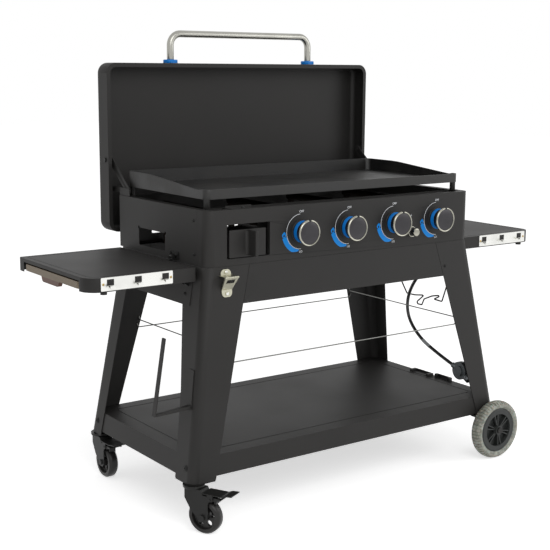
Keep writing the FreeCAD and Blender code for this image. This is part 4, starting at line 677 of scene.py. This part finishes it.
def seat(node, start, direction):
    """Where a line from start first meets a node, and the surface's outward normal there."""
    mesh = node.data
    tree = BVHTree.FromPolygons(
        [node.matrix_world @ vertex.co for vertex in mesh.vertices],
        [polygon.vertices[:] for polygon in mesh.polygons],
    )
    place, normal, _, _ = tree.ray_cast(Vector(start), direction)
    if place is None:
        raise RuntimeError("nothing to seat a screw on")
    if normal.dot(direction) > 0:
        normal = -normal
    return place, normal


def screw_head(place, axis, radius, height, recess):
    """A domed screw head with a cross or hexagon sunk in it."""
    dome = [(radius * across, height * up) for across, up in HEAD_PROFILE]
    foot = [(0, -HEAD_SINK), (radius, -HEAD_SINK)]
    head = turned("head", foot + dome + [(0, height)], place, axis, HEAD_STEPS)
    turn = Z_AXIS.rotation_difference(axis).to_matrix().to_4x4()
    middle = place + axis * height
    cutters = []
    if recess == "hexagon":
        bpy.ops.mesh.primitive_cylinder_add(vertices=6, radius=0.5, depth=1.0)
        cutters.append((bpy.context.object, (radius, radius, height * HEXAGON_DEPTH_SHARE)))
    else:
        length = radius * CROSS_LENGTH_SHARE
        width = radius * CROSS_WIDTH_SHARE
        for size in ((length, width), (width, length)):
            bpy.ops.mesh.primitive_cube_add(size=1.0)
            cutters.append((bpy.context.object, (*size, height * CROSS_DEPTH_SHARE)))
    for cutter, size in cutters:
        cutter.matrix_world = Matrix.Translation(middle) @ turn @ Matrix.Diagonal((*size, 1.0))
        bpy.context.view_layer.update()
        only(head)
        cut = head.modifiers.new("recess", "BOOLEAN")
        cut.operation = "DIFFERENCE"
        cut.object = cutter
        bpy.ops.object.modifier_apply(modifier=cut.name)
        bpy.data.objects.remove(cutter)
    return head


def arc_points(centre, radii, angles, steps):
    """Points round centre from the first radius and angle to the last, in degrees from +X toward +Z."""
    found = []
    for i in range(steps + 1):
        share = i / steps
        radius = radii[0] + (radii[1] - radii[0]) * share
        angle = math.radians(angles[0] + (angles[1] - angles[0]) * share)
        found.append((centre[0] + radius * math.cos(angle), centre[1] + radius * math.sin(angle)))
    return found


# Operators


class Settings(bpy.types.PropertyGroup):
    """Sizes that the operators take."""

    edge_width: bpy.props.FloatProperty(
        name="Edge Width", description="Rounding of folded sheet edges", default=0.0006, unit="LENGTH"
    )
    spin_steps: bpy.props.IntProperty(
        name="Spin Steps", description="Steps round a turned piece", default=64
    )
    key_power: bpy.props.FloatProperty(
        name="Key Power", description="Power of the main soft light", default=52.0, unit="POWER"
    )
    sky_power: bpy.props.FloatProperty(
        name="Sky Power", description="Strength of the light from all round", default=0.55
    )
    floor_glow: bpy.props.FloatProperty(
        name="Floor Glow", description="How far the floor is lifted toward white", default=0.6
    )
    accent: bpy.props.FloatVectorProperty(
        name="Accent", description="Colour of the printed crescents", subtype="COLOR", size=4,
        min=0.0, max=1.0, default=linear(0, 130, 214),
    )


def settings():
    """The sizes and colours that a user may change."""
    return bpy.context.scene.griddle_station


MATERIALS = {}


class GRIDDLE_OT_camera(bpy.types.Operator):
    """Sets the camera at the viewing angle of the photograph"""

    bl_idname = "griddle.camera"
    bl_label = "Set Camera"

    def execute(self, context):
        azimuth = CAMERA_AZIMUTH
        elevation = CAMERA_ELEVATION
        flat = math.cos(elevation)
        back = Vector((math.sin(azimuth) * flat, -math.cos(azimuth) * flat, math.sin(elevation)))
        right = Vector((math.cos(azimuth), math.sin(azimuth), 0.0))
        up = back.cross(right)
        turned_right = right * math.cos(CAMERA_ROLL) + up * math.sin(CAMERA_ROLL)
        turned_up = up * math.cos(CAMERA_ROLL) - right * math.sin(CAMERA_ROLL)
        matrix = Matrix((turned_right, turned_up, back)).transposed().to_4x4()
        matrix.translation = CAMERA_AT
        data = bpy.data.cameras.new("camera")
        data.lens = CAMERA_LENS
        data.sensor_width = CAMERA_FILM
        data.clip_end = CAMERA_REACH
        camera = bpy.data.objects.new("camera", data)
        camera.matrix_world = matrix
        context.scene.collection.objects.link(camera)
        context.scene.camera = camera
        return {"FINISHED"}


class GRIDDLE_OT_stage(bpy.types.Operator):
    """Makes the pale floor, the white surroundings and the soft lights"""

    bl_idname = "griddle.stage"
    bl_label = "Make Stage"

    def execute(self, context):
        self.floor(context)
        self.surroundings(context)
        for name, values in LAMPS.items():
            self.lamp(context, name, *values)
        context.scene.view_settings.view_transform = "Standard"
        return {"FINISHED"}

    def floor(self, context):
        """A matt floor that the camera and mirrors see lifted toward white."""
        bpy.ops.mesh.primitive_plane_add(size=FLOOR_SIZE, location=FLOOR_AT)
        floor = context.object
        floor.name = "floor"
        surface = Surface(
            "floor", roughness=0.9, specular_ior_level=0.0, emission_strength=settings().floor_glow
        )
        grain = surface.noise(40.0, 2.0)
        surface.set(base_color=surface.mix(grain, (0.86, 0.86, 0.86, 1), (0.9, 0.9, 0.9, 1)))
        surface.set(emission_color=surface.mix(surface.sees_white(), BLACK, WHITE))
        floor.data.materials.append(surface.material)

    def surroundings(self, context):
        """An even white room: full white for the camera and mirrors, dimmer as light."""
        world = bpy.data.worlds.new("studio")
        context.scene.world = world
        world.use_nodes = True
        shader = Shader(world.node_tree)
        shader.nodes.remove(shader.nodes["Background"])
        both = shader.node("MixShader", Fac=shader.sees_white())
        for index, strength in ((1, settings().sky_power), (2, 1.0)):
            light = shader.node("Background", Color=WHITE, Strength=strength)
            shader.feed(both.socket.node.inputs[index], light)
        shader.feed(shader.nodes["World Output"].inputs["Surface"], both)

    def lamp(self, context, name, place, target, size, share):
        """A square soft lamp that faces its target."""
        data = bpy.data.lights.new(name, "AREA")
        data.shape = "SQUARE"
        data.size = size
        data.energy = settings().key_power * share
        lamp = bpy.data.objects.new(name, data)
        lamp.location = place
        away = Vector(place) - Vector(target)
        lamp.rotation_euler = away.to_track_quat("Z", "Y").to_euler()
        context.scene.collection.objects.link(lamp)


class GRIDDLE_OT_surfaces(bpy.types.Operator):
    """Gives every carried-over node its finish and soft edges"""

    bl_idname = "griddle.surfaces"
    bl_label = "Make Surfaces"

    def execute(self, context):
        MATERIALS.update(build_materials(settings().accent))
        slots = {entry["node"]: entry["material_slot"] for entry in frame["record"]["subparts"]}
        for name, obj in frame["nodes"].items():
            obj.data.materials.clear()
            obj.data.materials.append(MATERIALS[NODE_FINISH.get(name, slots[name])])
            if name in UNSEEN_NODES:
                continue
            weld = obj.modifiers.new("weld", "WELD")
            weld.merge_threshold = WELD_DISTANCE
            bevel = obj.modifiers.new("edges", "BEVEL")
            bevel.width = settings().edge_width
            bevel.segments = 2
            bevel.limit_method = "ANGLE"
            bevel.angle_limit = math.radians(SHEET_EDGE_DEGREES)
            bevel.harden_normals = True
        return {"FINISHED"}


class GRIDDLE_OT_hose(bpy.types.Operator):
    """Makes the gas hose as one smooth tube from the manifold to the regulator"""

    bl_idname = "griddle.hose"
    bl_label = "Make Hose"

    def execute(self, context):
        curve = bpy.data.curves.new("gas_hose_tube", "CURVE")
        curve.dimensions = "3D"
        curve.bevel_depth = HOSE_DIAMETER / 2
        curve.bevel_resolution = 6
        curve.resolution_u = 24
        curve.use_fill_caps = True
        spline = curve.splines.new("NURBS")
        spline.points.add(len(HOSE_POINTS) - 1)
        places = [Vector((x, y + SHIFT_Y, z)) for x, y, z in HOSE_POINTS]
        for point, place in zip(spline.points, places):
            point.co = (*place, 1)
        spline.order_u = 3
        spline.use_endpoint_u = True
        hose = bpy.data.objects.new("gas_hose_tube", curve)
        context.scene.collection.objects.link(hose)
        curve.materials.append(MATERIALS["hose_rubber"])
        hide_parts("gas_hose")
        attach(hose, "firebox")
        self.label(hose)
        return {"FINISHED"}

    def label(self, hose):
        """A plain pale sleeve round the hose, along its own line."""
        line = hose.data.copy()
        line.bevel_depth = 0.0
        guide = bpy.data.objects.new("guide", line)
        bpy.context.scene.collection.objects.link(guide)
        mesh = bpy.data.meshes.new_from_object(guide)
        points = [vertex.co.copy() for vertex in mesh.vertices]
        bpy.data.objects.remove(guide)
        middle = min(range(len(points)), key=lambda i: (points[i] - LABEL_AT).length)
        run = [points[middle]]
        low = high = middle
        while sum((b - a).length for a, b in zip(run, run[1:])) < LABEL_LENGTH:
            low -= 1
            high += 1
            run = points[low:high + 1]
        sleeve = bpy.data.curves.new("hose_label", "CURVE")
        sleeve.dimensions = "3D"
        sleeve.bevel_depth = HOSE_DIAMETER / 2 + LABEL_THICKNESS
        sleeve.bevel_resolution = 6
        sleeve.use_fill_caps = True
        spline = sleeve.splines.new("POLY")
        spline.points.add(len(run) - 1)
        for point, place in zip(spline.points, run):
            point.co = (*place, 1)
        obj = bpy.data.objects.new("hose_label", sleeve)
        bpy.context.scene.collection.objects.link(obj)
        only(obj)
        bpy.ops.object.convert(target="MESH")
        label = baked(bpy.context.object, "hose_label")
        return finish(label, "label_grey", "firebox")


class GRIDDLE_OT_knobs(bpy.types.Operator):
    """Makes the burner knobs: blue collar, fluted body, bright rim, brushed cap and pointer"""

    bl_idname = "griddle.knobs"
    bl_label = "Make Knobs"

    flutes: bpy.props.IntProperty(name="Flutes", description="Hollows round a knob", default=16)

    def execute(self, context):
        for number, x in enumerate(KNOB_X, 1):
            centre = Vector((x, PANEL_Y, KNOB_Z))
            node = "knob_%d" % number
            for name, profile, finish_name, body, replaced in (
                # The neck's black plastic is painted shade: it darkens the shadowed gap between the
                # panel and the blue collar
                ("knob_neck", KNOB_NECK, "black_plastic", "firebox", "knob_bezels"),
                ("knob_collar", KNOB_COLLAR, "blue_plastic", "firebox", "knob_bezels"),
                ("knob_body", KNOB_BODY, "black_plastic", node, node),
                ("knob_rim", KNOB_RIM, "chrome", node, None),
                ("knob_cap", KNOB_CAP, "dark_chrome", node, None),
            ):
                piece = turned("%s_%d" % (name, number), profile, centre, -Y_AXIS, settings().spin_steps)
                if name == "knob_body":
                    self.flute(piece, centre)
                finish(piece, finish_name, body)
                if replaced:
                    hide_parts(replaced)
            finish(self.pointer(number, centre), "black_plastic", node)
        return {"FINISHED"}

    def flute(self, body, centre):
        """Presses shallow hollows along the grip."""
        pitch = 360.0 / self.flutes
        for width, squeeze in FLUTE_PASSES:
            only(body)
            bpy.ops.object.mode_set(mode="EDIT")
            bpy.ops.mesh.select_mode(type="VERT")
            bpy.ops.mesh.select_all(action="DESELECT")
            bpy.ops.object.mode_set(mode="OBJECT")
            for vertex in body.data.vertices:
                depth = centre.y - vertex.co.y
                _, angle = polar(vertex.co, centre)
                share = abs((angle / pitch) % 1.0 - 0.5)
                vertex.select = FLUTE_DEPTHS[0] < depth < FLUTE_DEPTHS[1] and share < width
            bpy.ops.object.mode_set(mode="EDIT")
            bpy.ops.transform.resize(value=(squeeze, 1, squeeze), center_override=centre)
            bpy.ops.object.mode_set(mode="OBJECT")

    def pointer(self, number, centre):
        """The black mark across the rim at the top of a knob."""
        middle = centre + POINTER_AT
        bpy.ops.mesh.primitive_cube_add(size=1.0, location=middle)
        mark = bpy.context.object
        mark.scale = POINTER_SIZE
        baked(mark, "knob_pointer_%d" % number)
        faces_chosen(mark, lambda at: at.y < middle.y - POINTER_FACE_DEPTH)
        bpy.ops.mesh.inset(thickness=POINTER_INSET, depth=POINTER_CROWN)
        bpy.ops.object.mode_set(mode="OBJECT")
        return softened(mark, POINTER_EDGE, 3)


class GRIDDLE_OT_dials(bpy.types.Operator):
    """Prints the white arcs and words, the blue crescents and the flame marks round the knobs"""

    bl_idname = "griddle.dials"
    bl_label = "Print Dials"

    def execute(self, context):
        for number, x in enumerate(KNOB_X, 1):
            centre = (x, KNOB_Z)
            off_place = (x + OFF_AT[0], KNOB_Z + OFF_AT[1])
            low_place = (x + LOW_AT[0], KNOB_Z + LOW_AT[1])
            words = [
                flat_shape("dial_arc_%d" % number, self.arc(centre)),
                printed_word("dial_off_%d" % number, "OFF", OFF_HEIGHT, off_place),
                printed_word("dial_low_%d" % number, "LO", LOW_HEIGHT, low_place),
            ]
            finish(joined("dial_print_%d" % number, words), "print_white", "firebox")
            across, up = (FLAME_RADIUS * turn(FLAME_ANGLE) for turn in (math.cos, math.sin))
            flame = (x + across, KNOB_Z + up)
            hole = (flame[0], flame[1] - FLAME_HOLE_DROP)
            marks = [
                flat_shape("dial_wedge_%d" % number, self.crescent(centre)),
                flat_shape(
                    "dial_flame_%d" % number,
                    flame_outline(flame, FLAME_HALF_SIZE),
                    flame_outline(hole, FLAME_HOLE_HALF_SIZE),
                ),
            ]
            finish(joined("dial_blue_%d" % number, marks), "print_blue", "firebox")
        return {"FINISHED"}

    def arc(self, centre):
        """The thin line round a knob."""
        outer, inner = ARC_RADII
        points = arc_points(centre, (outer, outer), ARC_ANGLES, 60)
        return points + arc_points(centre, (inner, inner), ARC_ANGLES[::-1], 60)

    def crescent(self, centre):
        """The band below a knob that narrows toward its end."""
        start, bend, end = CRESCENT_OUTER
        points = arc_points(centre, (start, bend), (CRESCENT_START, CRESCENT_BEND), 16)
        points += arc_points(centre, (bend, end), (CRESCENT_BEND, CRESCENT_END), 10)[1:]
        inner = (CRESCENT_INNER, CRESCENT_INNER)
        return points + arc_points(centre, inner, (CRESCENT_END, CRESCENT_START), 24)


class GRIDDLE_OT_igniter(bpy.types.Operator):
    """Makes the igniter's bright flange and cap, and prints the spark and dot above it"""

    bl_idname = "griddle.igniter"
    bl_label = "Make Igniter"

    def execute(self, context):
        steps = settings().spin_steps
        for name, profile, body in (
            ("igniter_flange", IGNITER_FLANGE, "firebox"),
            ("igniter_cap", IGNITER_CAP, "igniter_button"),
        ):
            finish(turned(name, profile, IGNITER, -Y_AXIS, steps), "chrome", body)
        x, z = SPARK_AT
        marks = [
            flat_shape("spark", [(x + u, z + v) for u, v in SPARK_OUTLINE]),
            flat_shape("dot", arc_points(DOT_AT, (DOT_RADIUS, DOT_RADIUS), (0, 345), 15)),
        ]
        finish(joined("igniter_marks", marks), "print_white", "firebox")
        return {"FINISHED"}


class GRIDDLE_OT_screws(bpy.types.Operator):
    """Makes the heads of the frame's bolts and of the firebox's, hook strips' and opener's screws"""

    bl_idname = "griddle.screws"
    bl_label = "Make Screws"

    def execute(self, context):
        for node, body, recess in (
            ("frame_bolts", "cart", "hexagon"),
            ("firebox_screws", "firebox", "cross"),
        ):
            heads = []
            for place, axis, radius, height in solids_of(frame["nodes"][node]):
                heads.append(screw_head(place, axis, radius, height, recess))
                if radius > WIDE_BOLT_RADIUS:
                    heads.append(self.washer(place, axis, radius))
            heads = finish(joined(node + "_heads", heads), "black_steel", body)
            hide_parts(node)
        for side, sign in (("left", -1), ("right", 1)):
            places = [(sign * x, STRIP_SCREWS_Z) for x in STRIP_SCREWS_X]
            heads = self.seated("hook_strip_" + side, places, STRIP_SCREW)
            finish(joined("strip_screws_" + side, heads), "brass", "shelf_" + side)
        heads = self.seated("bottle_opener", OPENER_SCREWS, OPENER_SCREW)
        finish(joined("opener_screws", heads), "bright_steel", "cart")
        return {"FINISHED"}

    def seated(self, node, places, size):
        """Cross-recessed heads on a node's front face, above each (x, z)."""
        heads = []
        for x, z in places:
            place, axis = seat(frame["nodes"][node], (x, SEAT_FROM_Y, z), Y_AXIS)
            heads.append(screw_head(place, axis, *size, "cross"))
        return heads

    def washer(self, place, axis, radius):
        """The wide flange under a leg's bolt, with a ring sunk in it."""
        profile = [(radius * share, up) for share, up in WASHER_PROFILE]
        return turned("washer", profile, place, axis, WASHER_STEPS)


class GRIDDLE_OT_tyres(bpy.types.Operator):
    """Makes the two large tyres with a ring of tread blocks"""

    bl_idname = "griddle.tyres"
    bl_label = "Make Tyres"

    blocks: bpy.props.IntProperty(name="Blocks", description="Tread blocks round a tyre", default=54)

    def execute(self, context):
        outline = [(r, -w) for r, w in TYRE_HALF_PROFILE]
        outline += [(r, w) for r, w in reversed(TYRE_HALF_PROFILE)]
        outline.append(outline[0])
        pitch = 360.0 / self.blocks
        for end, (low, high) in TYRE_FACES_Y.items():
            centre = Vector((WHEEL_X, (low + high) / 2 + SHIFT_Y, WHEEL_R))
            tyre = turned("tyre_tread_" + end, outline, centre, Y_AXIS, self.blocks * STEPS_PER_BLOCK)

            def groove(at, centre=centre):
                radius, angle = polar(at, centre)
                between = (angle / pitch) % 1.0 < TREAD_GROOVE_SHARE
                return radius > TREAD_BASE_RADIUS and between and abs(at.y - centre.y) > TREAD_HALF_RIB

            faces_chosen(tyre, groove)
            bpy.ops.mesh.inset(thickness=TREAD_GROOVE_INSET, depth=-TREAD_GROOVE_DEPTH)
            bpy.ops.object.mode_set(mode="OBJECT")
            finish(tyre, "tyre", "large_wheel_" + end, TYRE_SMOOTH_DEGREES)
            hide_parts("tyre_" + end)
        return {"FINISHED"}


OPERATORS = (
    GRIDDLE_OT_camera,
    GRIDDLE_OT_stage,
    GRIDDLE_OT_surfaces,
    GRIDDLE_OT_hose,
    GRIDDLE_OT_knobs,
    GRIDDLE_OT_dials,
    GRIDDLE_OT_igniter,
    GRIDDLE_OT_screws,
    GRIDDLE_OT_tyres,
)


class GRIDDLE_PT_panel(bpy.types.Panel):
    """Lists the steps that dress the station"""

    bl_idname = "GRIDDLE_PT_panel"
    bl_label = "Griddle Station"
    bl_space_type = "VIEW_3D"
    bl_region_type = "UI"
    bl_category = "Griddle"

    def draw(self, context):
        for prop in ("edge_width", "spin_steps", "key_power", "sky_power", "floor_glow", "accent"):
            self.layout.prop(context.scene.griddle_station, prop)
        for operator in OPERATORS:
            self.layout.operator(operator.bl_idname)


CLASSES = (Settings, *OPERATORS, GRIDDLE_PT_panel)


def register():
    for item in CLASSES:
        bpy.utils.register_class(item)
    bpy.types.Scene.griddle_station = bpy.props.PointerProperty(type=Settings)


def unregister():
    del bpy.types.Scene.griddle_station
    for item in reversed(CLASSES):
        bpy.utils.unregister_class(item)


def main():
    register()
    for operator in OPERATORS:
        category, name = operator.bl_idname.split(".")
        result = getattr(getattr(bpy.ops, category), name)()
        if result != {"FINISHED"}:
            raise RuntimeError("%s didn't finish" % operator.bl_idname)


if __name__ == "__main__":
    main()
